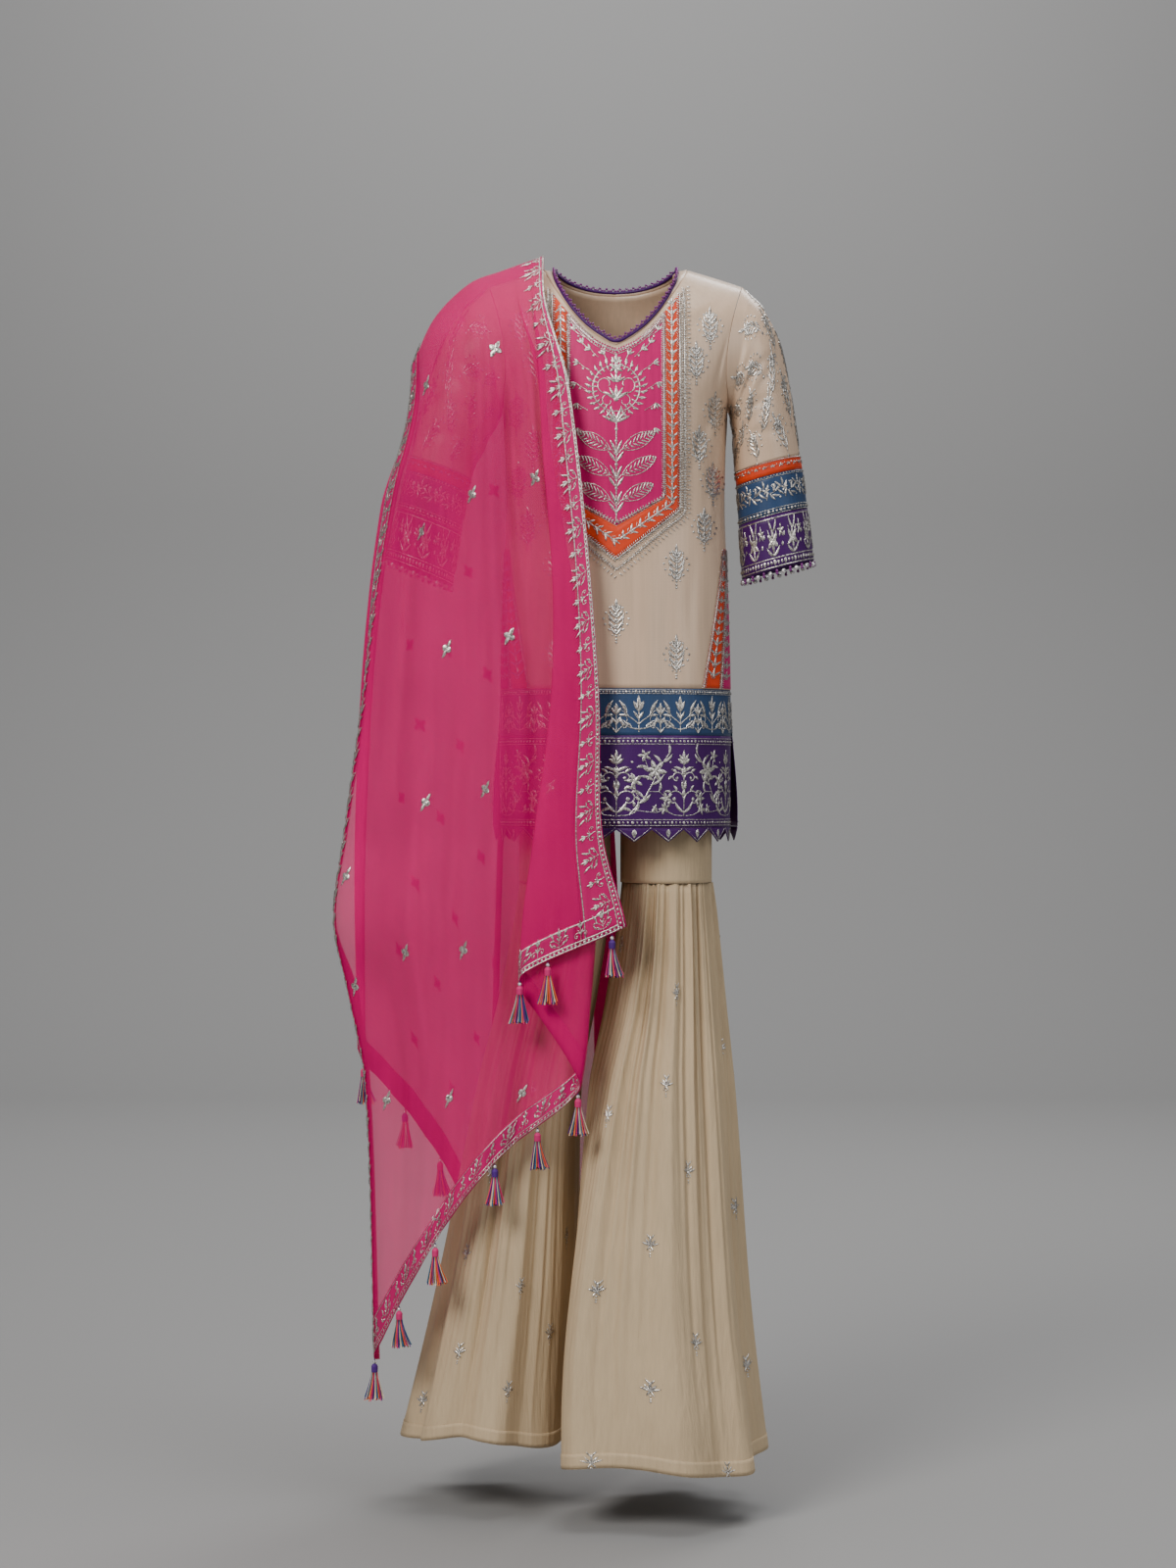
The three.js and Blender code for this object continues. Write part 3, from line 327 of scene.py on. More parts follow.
# Surfaces: a fine grid of points with their normals, read at any place between them
class Surface:
    def __init__(self, rows, cols, point, wrap=False, outward=None):
        self.rows, self.cols, self.wrap = np.asarray(rows, float), np.asarray(cols, float), wrap
        self.points = point(self.rows[:, None], self.cols[None, :])
        p = self.points
        if wrap:
            ring = np.concatenate([p[:, -2:-1], p, p[:, 1:2]], 1)
            across = ring[:, 2:] - ring[:, :-2]
        else:
            across = np.gradient(p, axis=1)
        n = np.cross(across, np.gradient(p, axis=0))
        n /= np.maximum(np.linalg.norm(n, axis=-1, keepdims=True), 1e-9)
        middle = p.reshape(-1, 3).mean(0) if outward is None else np.array(outward, float)
        away = (p - middle) * [1, 1, 0]
        if (n * away).sum() < 0:
            n = -n
        self.normals = n

    def at(self, row, col, lift=0.0):
        """Points at rows and columns given in the surface's own numbers, moved out by lift."""
        def place(axis, value):
            value = np.clip(value, min(axis[0], axis[-1]), max(axis[0], axis[-1]))
            flip = axis[0] > axis[-1]
            line = axis[::-1] if flip else axis
            k = np.interp(value, line, np.arange(len(axis)))
            return (len(axis) - 1 - k) if flip else k
        i, j = place(self.rows, row), place(self.cols, col)
        i0, j0 = np.minimum(i.astype(int), len(self.rows) - 2), np.minimum(j.astype(int), len(self.cols) - 2)
        fi, fj = (i - i0)[..., None], (j - j0)[..., None]
        def read(a):
            return ((a[i0, j0] * (1 - fj) + a[i0, j0 + 1] * fj) * (1 - fi)
                    + (a[i0 + 1, j0] * (1 - fj) + a[i0 + 1, j0 + 1] * fj) * fi)
        normal = read(self.normals)
        normal /= np.maximum(np.linalg.norm(normal, axis=-1, keepdims=True), 1e-9)
        return read(self.points) + normal * np.asarray(lift)[..., None]


def mesh_object(name, points, faces, material):
    """A mesh from points in millimetres."""
    mesh = bpy.data.meshes.new(name)
    mesh.from_pydata((np.asarray(points) * MM).tolist(), [], faces)
    mesh.update()
    mesh.polygons.foreach_set("use_smooth", [True] * len(mesh.polygons))
    for m in (material if isinstance(material, (list, tuple)) else [material]):
        mesh.materials.append(m)
    obj = bpy.data.objects.new(name, mesh)
    bpy.context.scene.collection.objects.link(obj)
    return obj


def piece(name, points, faces, material, slot, nodes=()):
    """A mesh that rides the one body and stands for the nodes given."""
    obj = mesh_object(name, points, faces, material)
    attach(obj, "root")
    if nodes:
        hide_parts(*nodes)
    return obj


def grid_faces(rows, cols, wrap=False, base=0):
    """Four-sided faces of a grid whose points are in rows."""
    out = []
    for j in range(rows - 1):
        low, high = base + j * cols, base + (j + 1) * cols
        for i in range(cols if wrap else cols - 1):
            k = (i + 1) % cols
            out.append((low + i, low + k, high + k, high + i))
    return out


def shell(name, surface, thickness, material, slot, lift=0.0, nodes=()):
    """A cloth wall on a surface, its outer face lifted."""
    points = surface.points + surface.normals * lift
    if surface.wrap:
        points = points[:, :-1]
    rows, cols = points.shape[:2]
    obj = piece(name, points.reshape(-1, 3), grid_faces(rows, cols, surface.wrap), material, slot, nodes)
    face = obj.data.polygons[(rows // 2) * (cols if surface.wrap else cols - 1) + cols // 2]
    if np.dot(surface.normals[rows // 2, cols // 2], face.normal) < 0:
        obj.data.flip_normals()
    wall = obj.modifiers.new("wall", "SOLIDIFY")
    wall.thickness, wall.offset, wall.use_even_offset = thickness * MM, -1, False
    return obj


SHAPED_TOP = 0.4                # the share of a piece's rows, from its top, whose width isn't its cut width


def cut_of(points, skip=0.0):
    """Width, length and area of a sheet, in metres; skip leaves a share of its top rows out of the width."""
    p = points * MM
    across = np.linalg.norm(np.diff(p, axis=1), axis=-1)
    along = np.linalg.norm(np.diff(p, axis=0), axis=-1)
    a, b = p[1:, 1:] - p[:-1, :-1], p[1:, :-1] - p[:-1, 1:]
    area = np.linalg.norm(np.cross(a, b), axis=-1).sum() / 2
    return across.sum(1)[int(len(across) * skip):].max(), along.sum(0).max(), area


def cloth_for(node, surface, thickness, material, slot, lift=0.0):
    """The cloth that stands for a CAD node; its flat width, length and area are worked out but not used."""
    obj = shell(f"{node}_cloth", surface, thickness, material, slot, lift, [node])
    width, length, area = cut_of(surface.points, SHAPED_TOP)
    return obj


# Materials
def new_material(name):
    m = bpy.data.materials.new(name)
    m.use_nodes = True
    nodes = m.node_tree.nodes
    return m, nodes, nodes["Principled BSDF"]


def add(nodes, kind, **inputs):
    node = nodes.new(kind)
    for key, value in inputs.items():
        if key in node.inputs:
            node.inputs[key].default_value = value
        else:
            setattr(node, key, value)
    return node


def join(source, output, node, value):
    """Links an output of one shader node to an input of another."""
    source.id_data.links.new(source.outputs[output], node.inputs[value])


WEAVE_SCALE, WEAVE_BUMP = 160 / 0.9, 0.18


def cloth(name, colour, roughness=0.6, sheen=0.25, crinkle=0.0, shade=0.12,
          slub=(1.0, 1.0, 0.06), alpha=1.0, gloss=0.35):
    """Woven cloth: two crossing threads as bump, slubs as colour, and a crinkle for crepe."""
    m, nodes, bsdf = new_material(name)
    looks = {"Roughness": roughness, "Sheen Weight": sheen, "Sheen Roughness": 0.4,
             "Sheen Tint": (*colour, 1), "Specular IOR Level": gloss, "Alpha": alpha}
    for key, value in looks.items():
        bsdf.inputs[key].default_value = value
    place = nodes.new("ShaderNodeTexCoord")
    stretch = add(nodes, "ShaderNodeMapping")
    stretch.inputs["Scale"].default_value = slub
    join(place, "Object", stretch, "Vector")
    patchy = add(nodes, "ShaderNodeTexNoise", Scale=220.0, Detail=3.0)
    join(stretch, "Vector", patchy, "Vector")
    broad = add(nodes, "ShaderNodeTexNoise", Scale=9.0, Detail=2.0)
    join(place, "Object", broad, "Vector")
    both = add(nodes, "ShaderNodeMath", operation="ADD")
    join(patchy, "Fac", both, 0)
    join(broad, "Fac", both, 1)
    ramp = nodes.new("ShaderNodeValToRGB")
    ramp.color_ramp.elements[0].position, ramp.color_ramp.elements[1].position = 0.32, 0.7
    low, high = [c * (1 - shade) for c in colour], [min(1, c * (1 + shade)) for c in colour]
    ramp.color_ramp.elements[0].color, ramp.color_ramp.elements[1].color = (*low, 1), (*high, 1)
    half = add(nodes, "ShaderNodeMath", operation="MULTIPLY")
    half.inputs[1].default_value = 0.5
    join(both, 0, half, 0)
    join(half, 0, ramp, "Fac")
    join(ramp, "Color", bsdf, "Base Color")
    warp = add(nodes, "ShaderNodeTexWave", Scale=WEAVE_SCALE, Distortion=0.6, Detail=1.0)
    weft = add(nodes, "ShaderNodeTexWave", Scale=WEAVE_SCALE, Distortion=0.6, Detail=1.0, bands_direction="Z")
    for wave in (warp, weft):
        join(place, "Object", wave, "Vector")
    weave = add(nodes, "ShaderNodeMath", operation="MAXIMUM")
    join(warp, "Fac", weave, 0)
    join(weft, "Fac", weave, 1)
    bump = add(nodes, "ShaderNodeBump", Strength=WEAVE_BUMP, Distance=0.0004)
    join(weave, 0, bump, "Height")
    last = bump
    if crinkle:
        crepe = add(nodes, "ShaderNodeMapping")
        crepe.inputs["Scale"].default_value = (1, 1, 0.12)
        join(place, "Object", crepe, "Vector")
        creases = add(nodes, "ShaderNodeTexNoise", Scale=130.0, Detail=4.0, Distortion=0.4)
        join(crepe, "Vector", creases, "Vector")
        last = add(nodes, "ShaderNodeBump", Strength=crinkle, Distance=0.003)
        join(creases, "Fac", last, "Height")
        join(bump, "Normal", last, "Normal")
    join(last, "Normal", bsdf, "Normal")
    return m


def metal_thread(name, colour, roughness=0.38, metallic=0.75):
    """Couched metal thread: fine ridges as bump, and painted glints and painted shade in its colour."""
    m, nodes, bsdf = new_material(name)
    bsdf.inputs["Metallic"].default_value = metallic
    bsdf.inputs["Roughness"].default_value = roughness
    place = nodes.new("ShaderNodeTexCoord")
    ridges_and_painted_glints = add(nodes, "ShaderNodeTexNoise", Scale=520.0, Detail=3.0)
    join(place, "Object", ridges_and_painted_glints, "Vector")
    # Painted glints and painted shade: a fine noise swings the colour from 0.3 to 1.45 times the thread's own
    # colour.
    ramp = nodes.new("ShaderNodeValToRGB")
    ramp.color_ramp.elements[0].position, ramp.color_ramp.elements[1].position = 0.35, 0.62
    ramp.color_ramp.elements[0].color = (*[c * 0.3 for c in colour], 1)
    ramp.color_ramp.elements[1].color = (*[min(1, c * 1.45) for c in colour], 1)
    join(ridges_and_painted_glints, "Fac", ramp, "Fac")
    join(ramp, "Color", bsdf, "Base Color")
    bump = add(nodes, "ShaderNodeBump", Strength=0.6, Distance=0.0006)
    join(ridges_and_painted_glints, "Fac", bump, "Height")
    join(bump, "Normal", bsdf, "Normal")
    return m


BEIGE = cloth("beige_silk", (0.60, 0.425, 0.295), roughness=0.36, sheen=0.06, shade=0.09, slub=(1, 1, 0.04),
              gloss=0.6)
CREAM = cloth("cream_georgette", (0.565, 0.425, 0.262), roughness=0.7, sheen=0.12, crinkle=0.6, shade=0.08)
MAGENTA_SHEER = cloth("magenta_sheer", (0.74, 0.0, 0.168), roughness=0.7, sheen=0.03, crinkle=0.15, shade=0.1,
                      alpha=0.48, gloss=0.12)
MAGENTA = cloth("magenta_silk", (0.53, 0.0, 0.122), roughness=0.5, sheen=0.03, shade=0.14, gloss=0.25)
ORANGE = cloth("orange_silk", (0.66, 0.05, 0.012), roughness=0.48, sheen=0.03, gloss=0.25)
BLUE = cloth("blue_silk", (0.026, 0.058, 0.135), roughness=0.45, sheen=0.03, gloss=0.25)
PURPLE = cloth("purple_silk", (0.050, 0.005, 0.095), roughness=0.45, sheen=0.03, gloss=0.25)
# The silver thread and the pearl beads both carry painted glints and painted shade in their colour.
SILVER = metal_thread("silver_thread", (0.60, 0.565, 0.52), roughness=0.3, metallic=0.85)
PEARL = metal_thread("pearl_bead", (0.72, 0.68, 0.68), roughness=0.2, metallic=0.5)
VIOLET_BEAD = cloth("violet_bead", (0.16, 0.012, 0.16), roughness=0.3, sheen=0.0, gloss=0.6)


# Embroidery: leaves, stems and beads drawn flat in millimetres, then laid on a surface
LEAF_FULL, STEM_FULL = 0.68, 0.66     # how full leaves and stems are worked


class Stitches:
    def __init__(self):
        self.points, self.faces = [], []

    def _strip(self, left, middle, right, lift):
        base = len(self.points)
        for a, b, c in zip(left, middle, right):
            self.points += [(*a, 0.1), (*b, lift), (*c, 0.1)]
        for k in range(len(left) - 1):
            q = base + 3 * k
            self.faces += [(q, q + 1, q + 4, q + 3), (q + 1, q + 2, q + 5, q + 4)]

    def leaf(self, x, y, angle, length, width, lift=0.9, bend=0.0, steps=5):
        a = math.radians(angle)
        left, middle, right = [], [], []
        for k in range(steps + 1):
            t = k / steps
            full = math.sin(math.pi * min(1, t * 0.96 + 0.04)) ** 0.8
            along, half = t * length, width * LEAF_FULL / 2 * full
            turn = a + math.radians(bend) * t
            mx, my = x + along * math.cos(turn), y + along * math.sin(turn)
            nx, ny = -math.sin(turn) * half, math.cos(turn) * half
            left.append((mx + nx, my + ny))
            middle.append((mx, my))
            right.append((mx - nx, my - ny))
        self._strip(left, middle, right, lift)

    def stem(self, path, width=1.3, lift=0.6):
        left, right = [], []
        for k, (x, y) in enumerate(path):
            (x0, y0), (x1, y1) = path[max(0, k - 1)], path[min(len(path) - 1, k + 1)]
            long = math.hypot(x1 - x0, y1 - y0) or 1
            half = width * STEM_FULL / 2
            nx, ny = -(y1 - y0) / long * half, (x1 - x0) / long * half
            left.append((x + nx, y + ny))
            right.append((x - nx, y - ny))
        self._strip(left, list(path), right, lift)

    def line(self, x0, y0, x1, y1, width=1.3, step=6.0, lift=0.6):
        n = max(1, round(math.hypot(x1 - x0, y1 - y0) / step))
        self.stem([(mix(x0, x1, k / n), mix(y0, y1, k / n)) for k in range(n + 1)], width, lift)

    def arc(self, x, y, radius, start, end, width=1.2, steps=8, shrink=1.0):
        path = []
        for k in range(steps + 1):
            t = k / steps
            a, r = math.radians(mix(start, end, t)), radius * mix(1, shrink, t)
            path.append((x + r * math.cos(a), y + r * math.sin(a)))
        self.stem(path, width)

    def dot(self, x, y, radius, lift=1.0, sides=6):
        base = len(self.points)
        self.points.append((x, y, lift))
        for k in range(sides):
            a = 2 * math.pi * k / sides
            self.points.append((x + radius * math.cos(a), y + radius * math.sin(a), 0.1))
        self.faces += [(base, base + 1 + k, base + 1 + (k + 1) % sides) for k in range(sides)]

    def flower(self, x, y, radius, petals=5, start=90.0):
        for k in range(petals):
            self.leaf(x, y, start + 360 / petals * k, radius, radius * 0.62, steps=3)
        self.dot(x, y, radius * 0.22, 1.3)

    def copy_in(self, other, x, y, angle=0.0, scale=1.0, flip=1):
        """Another drawing, placed, turned and mirrored."""
        base, c, s = len(self.points), math.cos(math.radians(angle)), math.sin(math.radians(angle))
        for px, py, h in other.points:
            px, py = px * scale * flip, py * scale
            self.points.append((x + px * c - py * s, y + px * s + py * c, h))
        self.faces += [tuple(base + k for k in face) for face in other.faces]

    def lay(self, name, place, lift=0.3):
        """Lays the drawing; place(x, y, height) gives points on the surface."""
        p = np.array(self.points)
        return piece(name, place(p[:, 0], p[:, 1], p[:, 2] + lift), self.faces, SILVER, "silver_lace")


def fan_motif():
    """A bud on a stem with two pairs of curving side leaves, 32 wide and 30 high, rising along +y."""
    s = Stitches()
    s.line(0, 0, 0, 18, 1.1)
    for angle, length in ((90, 12.5), (66, 9), (114, 9)):
        s.leaf(0, 16, angle, length, 4.0)
    for flip in (-1, 1):
        s.stem([(0, 6), (flip * 3, 9), (flip * 7, 12), (flip * 9, 15)], 1.1)
        s.leaf(flip * 8.5, 14, 90 - flip * 12, 12, 3.8, bend=-flip * 14)
        s.leaf(flip * 7, 12, 90 - flip * 62, 7.5, 3.0, bend=-flip * 20)
        s.stem([(0, 2), (flip * 5, 3), (flip * 10, 5)], 1.1)
        s.leaf(flip * 9, 5, 90 - flip * 70, 8, 3.2, bend=flip * 40)
        s.leaf(flip * 5, 3.5, 90 - flip * 30, 6.5, 2.6, bend=-flip * 20)
        s.leaf(0, 10, 90 - flip * 30, 7, 2.6)
        s.dot(flip * 13.5, 10, 1.0)
    return s


def curl_motif():
    """A bud on a stem between two hooked curls, 18 wide and 22 high."""
    s = Stitches()
    s.line(0, 0, 0, 15, 1.1)
    for angle, length in ((90, 9), (58, 6.5), (122, 6.5)):
        s.leaf(0, 13.5, angle, length, 3.2)
    for flip in (-1, 1):
        s.arc(flip * 4.8, 5, 4.8, 90 + flip * 90, 90 - flip * 190, 1.0, 10, 0.35)
        s.dot(flip * 4.8, 5, 1.1)
        s.leaf(0, 7, 90 - flip * 36, 6, 2.2)
    return s


def border_row(s, x0, x1, y0, height, pitch=36.0):
    """Sprays and curls by turns along a band; y0 is the foot."""
    fan, curl = fan_motif(), curl_motif()
    n = max(1, round(abs(x1 - x0) / pitch))
    size = height / 30
    for k in range(n):
        x = mix(x0, x1, (k + 0.5) / n)
        s.copy_in(fan, x, y0, scale=size)
        s.copy_in(curl, mix(x0, x1, (k + 1) / n), y0, scale=size, flip=1 if k % 2 else -1)


def booti_motif():
    """The kurta's spot: a lozenge of small leaves and sequins with a drop below, 34 wide and 54 high."""
    s = Stitches()
    for y, wide in ((15, 8), (9, 13), (2, 16), (-5, 14), (-11, 9)):
        for flip in (-1, 1):
            s.leaf(0, y - 3, 90 - flip * 58, wide, 4.6, bend=flip * 20)
            s.leaf(flip * wide * 0.45, y, 90 - flip * 18, 6.5, 3.2)
            s.dot(flip * wide * 0.95, y + 3, 1.5)
            s.dot(flip * wide * 0.5, y - 4, 1.1)
    s.leaf(0, 14, 90, 15, 5.4)
    for flip in (-1, 1):
        s.leaf(0, 14, 90 - flip * 30, 9, 3.6)
    s.line(0, -14, 0, 16, 1.5)
    for y in (-16, -20, -23.5):
        s.dot(0, y, 1.6)
    for y in (10, 3, -4, -10):
        s.dot(0, y, 2.3, 1.5)
    return s


def sprig_motif():
    """The sharara's spot: a small bunch with a drop."""
    s = Stitches()
    for angle in (90, 58, 122, 26, 154):
        s.leaf(0, 0, angle, 12 if angle == 90 else 10, 3.8)
    for angle in (60, 120):
        s.leaf(0, 8, angle, 8, 3.0)
    s.dot(0, 0, 2.0, 1.4)
    for y in (-6, -10, -13):
        s.dot(0, y, 1.2)
    s.leaf(0, 0, -60, 7, 2.8)
    s.leaf(0, 0, -120, 7, 2.8)
    return s


def four_petal():
    """Four round petals about one sequin, 20 across."""
    s = Stitches()
    for k in range(4):
        s.leaf(0, 0, 45 + 90 * k, 10, 9, steps=4)
    s.dot(0, 0, 2.2, 1.4)
    return s


# Kurta
def body_surface(side, rows=80, cols=130):
    def point(share, turn):
        return body_point(side, turn, mix(top_z(side, turn), BODY_END_Z + SEAM / 2, share))
    return Surface(np.linspace(0, 1, rows), np.linspace(-90, 90, cols), point, outward=(0, 0, 0))


def band_surface(side, top, foot, rows=14, cols=150):
    return Surface(np.linspace(top - SEAM / 2, foot + SEAM / 2, rows), np.linspace(-90, 90, cols),
                   lambda z, turn: body_point(side, turn, z), outward=(0, 0, 0))


body, blue_band, purple_band = {}, {}, {}
for side in ("front", "back"):
    body[side] = body_surface(side)
    cloth_for(f"kurta_{side}", body[side], 1.0, BEIGE, "beige_silk")
    blue_band[side] = band_surface(side, BODY_END_Z, BLUE_END_Z)
    cloth_for(f"border_blue_{side}", blue_band[side], 1.0, BLUE, "blue_silk")
    purple_band[side] = band_surface(side, BLUE_END_Z, PURPLE_END_Z)
    cloth_for(f"border_purple_{side}", purple_band[side], 1.0, PURPLE, "purple_silk")


def on_band(band):
    """x is the distance round the hem from the centre."""
    return lambda x, z, height: band.at(z, x / BODY_MM_PER_TURN, height)


def on_panel(side, lift=0.0):
    """x is the real distance from the centre, for the spots, the yoke and what is round it."""
    def place(x, z, height):
        turn = np.degrees(np.arcsin(np.clip(x / body_edge(z), -1, 1)))
        top = top_z(side, turn)
        return body[side].at((top - z) / (top - BODY_END_Z), turn, height + lift)
    return place


APPLIQUE_LIFT = 0.8             # how far the yoke, its border and the inserts stand off the front
on_yoke = on_panel("front", APPLIQUE_LIFT)
HEM_TURN = 88
HALF_HEM = HEM_TURN * BODY_MM_PER_TURN
BLUE_PITCH = 50


def scroll(s, x, y, radius, start, sweep, leaves=5, width=1.9):
    """A spiral stem with leaflets on its outer side."""
    s.arc(x, y, radius, start, start + sweep, width, 16, 0.3)
    way = 1 if sweep > 0 else -1
    for k in range(leaves):
        t = (k + 0.5) / (leaves + 1.5)
        angle, reach = start + sweep * t, radius * mix(1, 0.3, t)
        px, py = x + reach * math.cos(math.radians(angle)), y + reach * math.sin(math.radians(angle))
        s.leaf(px, py, angle + way * 32, 9.5 - 4 * t, 4.4, bend=way * 24)
    s.dot(x, y, radius * 0.14 + 0.6)


def plant(s, x, y0, height):
    """A symmetric plant: a tall bud over two pairs of scrolls."""
    top = y0 + height
    s.line(x, y0 + 3, x, top - 22, 1.5)
    for angle, length in ((90, 17), (64, 13), (116, 13), (38, 10), (142, 10)):
        s.leaf(x, top - 24, angle, length, 5.6)
    for flip in (-1, 1):
        scroll(s, x + flip * 12.5, y0 + 24, 12, 90 + flip * 90, -flip * 300)
        scroll(s, x + flip * 9, y0 + 49, 8.5, 90 + flip * 90, -flip * 280, 3)
        s.leaf(x, top - 34, 90 - flip * 44, 15, 5.2, bend=-flip * 22)
        s.leaf(x, y0 + 8, 90 - flip * 66, 18, 5.2, bend=flip * 26)
        s.leaf(x, y0 + 34, 90 - flip * 28, 12, 4.6, bend=flip * 18)
        s.stem([(x + flip * 2, y0 + 4), (x + flip * 12, y0 + 5), (x + flip * 21, y0 + 9)], 1.3)
        s.leaf(x + flip * 20, y0 + 9, 90 - flip * 40, 14, 5.0, bend=flip * 24)
        s.dot(x + flip * 17, top - 22, 1.2)


def flowering_branch(s, x, y0, height, flip):
    """A branch rising across the band with one large flower, small ones and slender leaves."""
    path = [(-25, 5), (-17, 15), (-7, 27), (0, 41), (6, 55), (13, 68), (20, 78)]
    s.stem([(x + flip * px, y0 + py * height / 90) for px, py in path], 2.0)
    for twig in (((-12, 21), (-18, 32), (-19, 44)), ((-4, 33), (8, 33), (15, 27)),
                 ((5, 53), (-5, 62), (-8, 72)), ((-20, 11), (-6, 9), (6, 8), (13, 12))):
        s.stem([(x + flip * px, y0 + py * height / 90) for px, py in twig], 1.2)
    for px, py, radius, petals in ((4, 58, 14, 6), (-19, 46, 10, 5), (17, 25, 8.5, 5), (-8, 76, 8, 5),
                                   (14, 12, 7, 5)):
        s.flower(x + flip * px, y0 + py * height / 90, radius, petals, 90 + 20 * flip)
    for px, py, angle, long in ((-22, 9, 140, 13), (-14, 19, 20, 15), (-9, 25, 120, 14), (0, 41, 20, 16),
                                (2, 46, 140, 15), (13, 68, 20, 13), (11, 66, 110, 13), (20, 77, 70, 12),
                                (8, 33, 60, 10), (-18, 36, 150, 10), (0, 9, 40, 9), (-5, 62, 160, 11),
                                (6, 9, 110, 8)):
        s.leaf(x + flip * px, y0 + py * height / 90, 90 + flip * (angle - 90), long * 1.15, 5.0,
               bend=flip * 22)


def vine(s, x0, x1, y0, height):
    """The purple border: plants with scrolls, and flowering branches between them."""
    n = max(1, round((x1 - x0) / 80))
    step = (x1 - x0) / n
    for k in range(n):
        plant(s, x0 + step * (k + 0.5), y0, height)
        flowering_branch(s, x0 + step * k, y0, height, 1 if k % 2 else -1)


def point_foot(turn):
    """The lower edge of the pointed lace."""
    across = np.mod((turn + HEM_TURN) / (2 * HEM_TURN) * POINT_COUNT, 1)
    return PURPLE_END_Z - 2.5 - POINT_DROP * (1 - np.abs(2 * across - 1))


def beaded_line(s, x0, x1, y, gap=5.0, radius=1.3, rails=3.4):
    s.line(x0, y - rails, x1, y - rails, 1.1)
    s.line(x0, y + rails, x1, y + rails, 1.1)
    n = round((x1 - x0) / gap)
    for k in range(n + 1):
        s.dot(mix(x0, x1, k / n), y, radius * (1.35 if k % 3 == 0 else 1), 1.4)


for side in ("front", "back"):
    s = Stitches()
    border_row(s, -HALF_HEM, HALF_HEM, BLUE_END_Z + 4, 46, BLUE_PITCH)
    beaded_line(s, -HALF_HEM, HALF_HEM, BODY_END_Z - 4, 3.6, 1.2, 2.2)
    arches = round(2 * HALF_HEM / BLUE_PITCH)
    for k in range(arches):
        x = mix(-HALF_HEM, HALF_HEM, k / arches)
        foot = BLUE_END_Z + 3
        for flip in (-1, 1):
            s.stem([(x, foot), (x + flip * 3, foot + 5), (x + flip * 9, foot + 9), (x + flip * 12, foot + 16),
                    (x + flip * 9, foot + 24), (x + flip * 4, foot + 28), (x, foot + 33)], 1.0)
            s.leaf(x, foot, 90 - flip * 34, 8, 2.6)
    s.lay(f"blue_stitches_{side}", on_band(blue_band[side]))
    s = Stitches()
    beaded_line(s, -HALF_HEM, HALF_HEM, BLUE_END_Z - 7)
    beaded_line(s, -HALF_HEM, HALF_HEM, PURPLE_END_Z + 6)
    vine(s, -HALF_HEM, HALF_HEM, PURPLE_END_Z + 10, 90)
    s.lay(f"purple_stitches_{side}", on_band(purple_band[side]))
    points = Stitches()
    lace = Surface(np.linspace(0, 1, 4), np.linspace(-HEM_TURN, HEM_TURN, POINT_COUNT * 8 + 1),
                   lambda t, turn: body_point(side, turn, mix(PURPLE_END_Z - SEAM / 2, point_foot(turn), t)),
                   outward=(0, 0, 0))
    cloth_for(f"hem_points_{side}", lace, 1.0, PURPLE, "silver_lace")
    for k in range(POINT_COUNT):
        x = mix(-HALF_HEM, HALF_HEM, (k + 0.5) / POINT_COUNT)
        wide = HALF_HEM / POINT_COUNT - 1.5
        points.stem([(x - wide, 0.15), (x, 0.9), (x + wide, 0.15)], 0.13)
        points.leaf(x, 0.12, 90, 0.6, 8, steps=4)
    points.lay(f"hem_points_stitches_{side}", on_band(lace))


# Yoke, its border, the inserts and the neck piping, all on the front
def flat_patch(x_of, z_of, rows, cols):
    """A patch given by real x and z, over the front cloth."""
    def point(t, s):
        t, s = np.broadcast_arrays(t, s)
        return on_yoke(x_of(t, s), z_of(t, s), np.zeros(t.shape))
    return Surface(np.linspace(0, 1, rows), np.linspace(0, 1, cols), point, outward=(0, 0, 0))


YOKE_HALF, YOKE_SIDE_Z, YOKE_TIP_Z, NECK_INSET = 58, -288, -322, 5


def yoke_x(t, s):
    return mix(-YOKE_HALF, YOKE_HALF, s)


def yoke_z(t, s):
    x = np.abs(yoke_x(t, s))
    return mix(neck_z["front"](x) - NECK_INSET, mix(YOKE_TIP_Z, YOKE_SIDE_Z, x / YOKE_HALF), t)


yoke = flat_patch(yoke_x, yoke_z, 70, 60)
cloth_for("yoke", yoke, 0.9, MAGENTA, "magenta_silk")

BORDER_IN = (58.6, -289, -323, -64)
BORDER_OUT = (76, -302, -362, -40)
BORDER_ARM = 0.36


def border_edge(edge, s):
    half, side, tip, top = edge
    sign, run = np.where(s < 0.5, -1, 1), np.minimum(s, 1 - s)
    t = np.clip((run - BORDER_ARM) / (0.5 - BORDER_ARM), 0, 1)
    arm = run < BORDER_ARM
    x = np.where(arm, sign * half, sign * half * (1 - t))
    return x, np.where(arm, mix(top, side, np.clip(run / BORDER_ARM, 0, 1)), mix(side, tip, t))


def border_x(t, s):
    return mix(border_edge(BORDER_IN, s)[0], border_edge(BORDER_OUT, s)[0], t)


def border_z(t, s):
    return mix(border_edge(BORDER_IN, s)[1], border_edge(BORDER_OUT, s)[1], t)


yoke_border = flat_patch(border_x, border_z, 6, 201)
cloth_for("yoke_border", yoke_border, 0.9, ORANGE, "orange_silk")

INSERT_TOP_Z, INSERT_FOOT_Z, ORANGE_X, MAGENTA_X = -345, -515, 104, 126


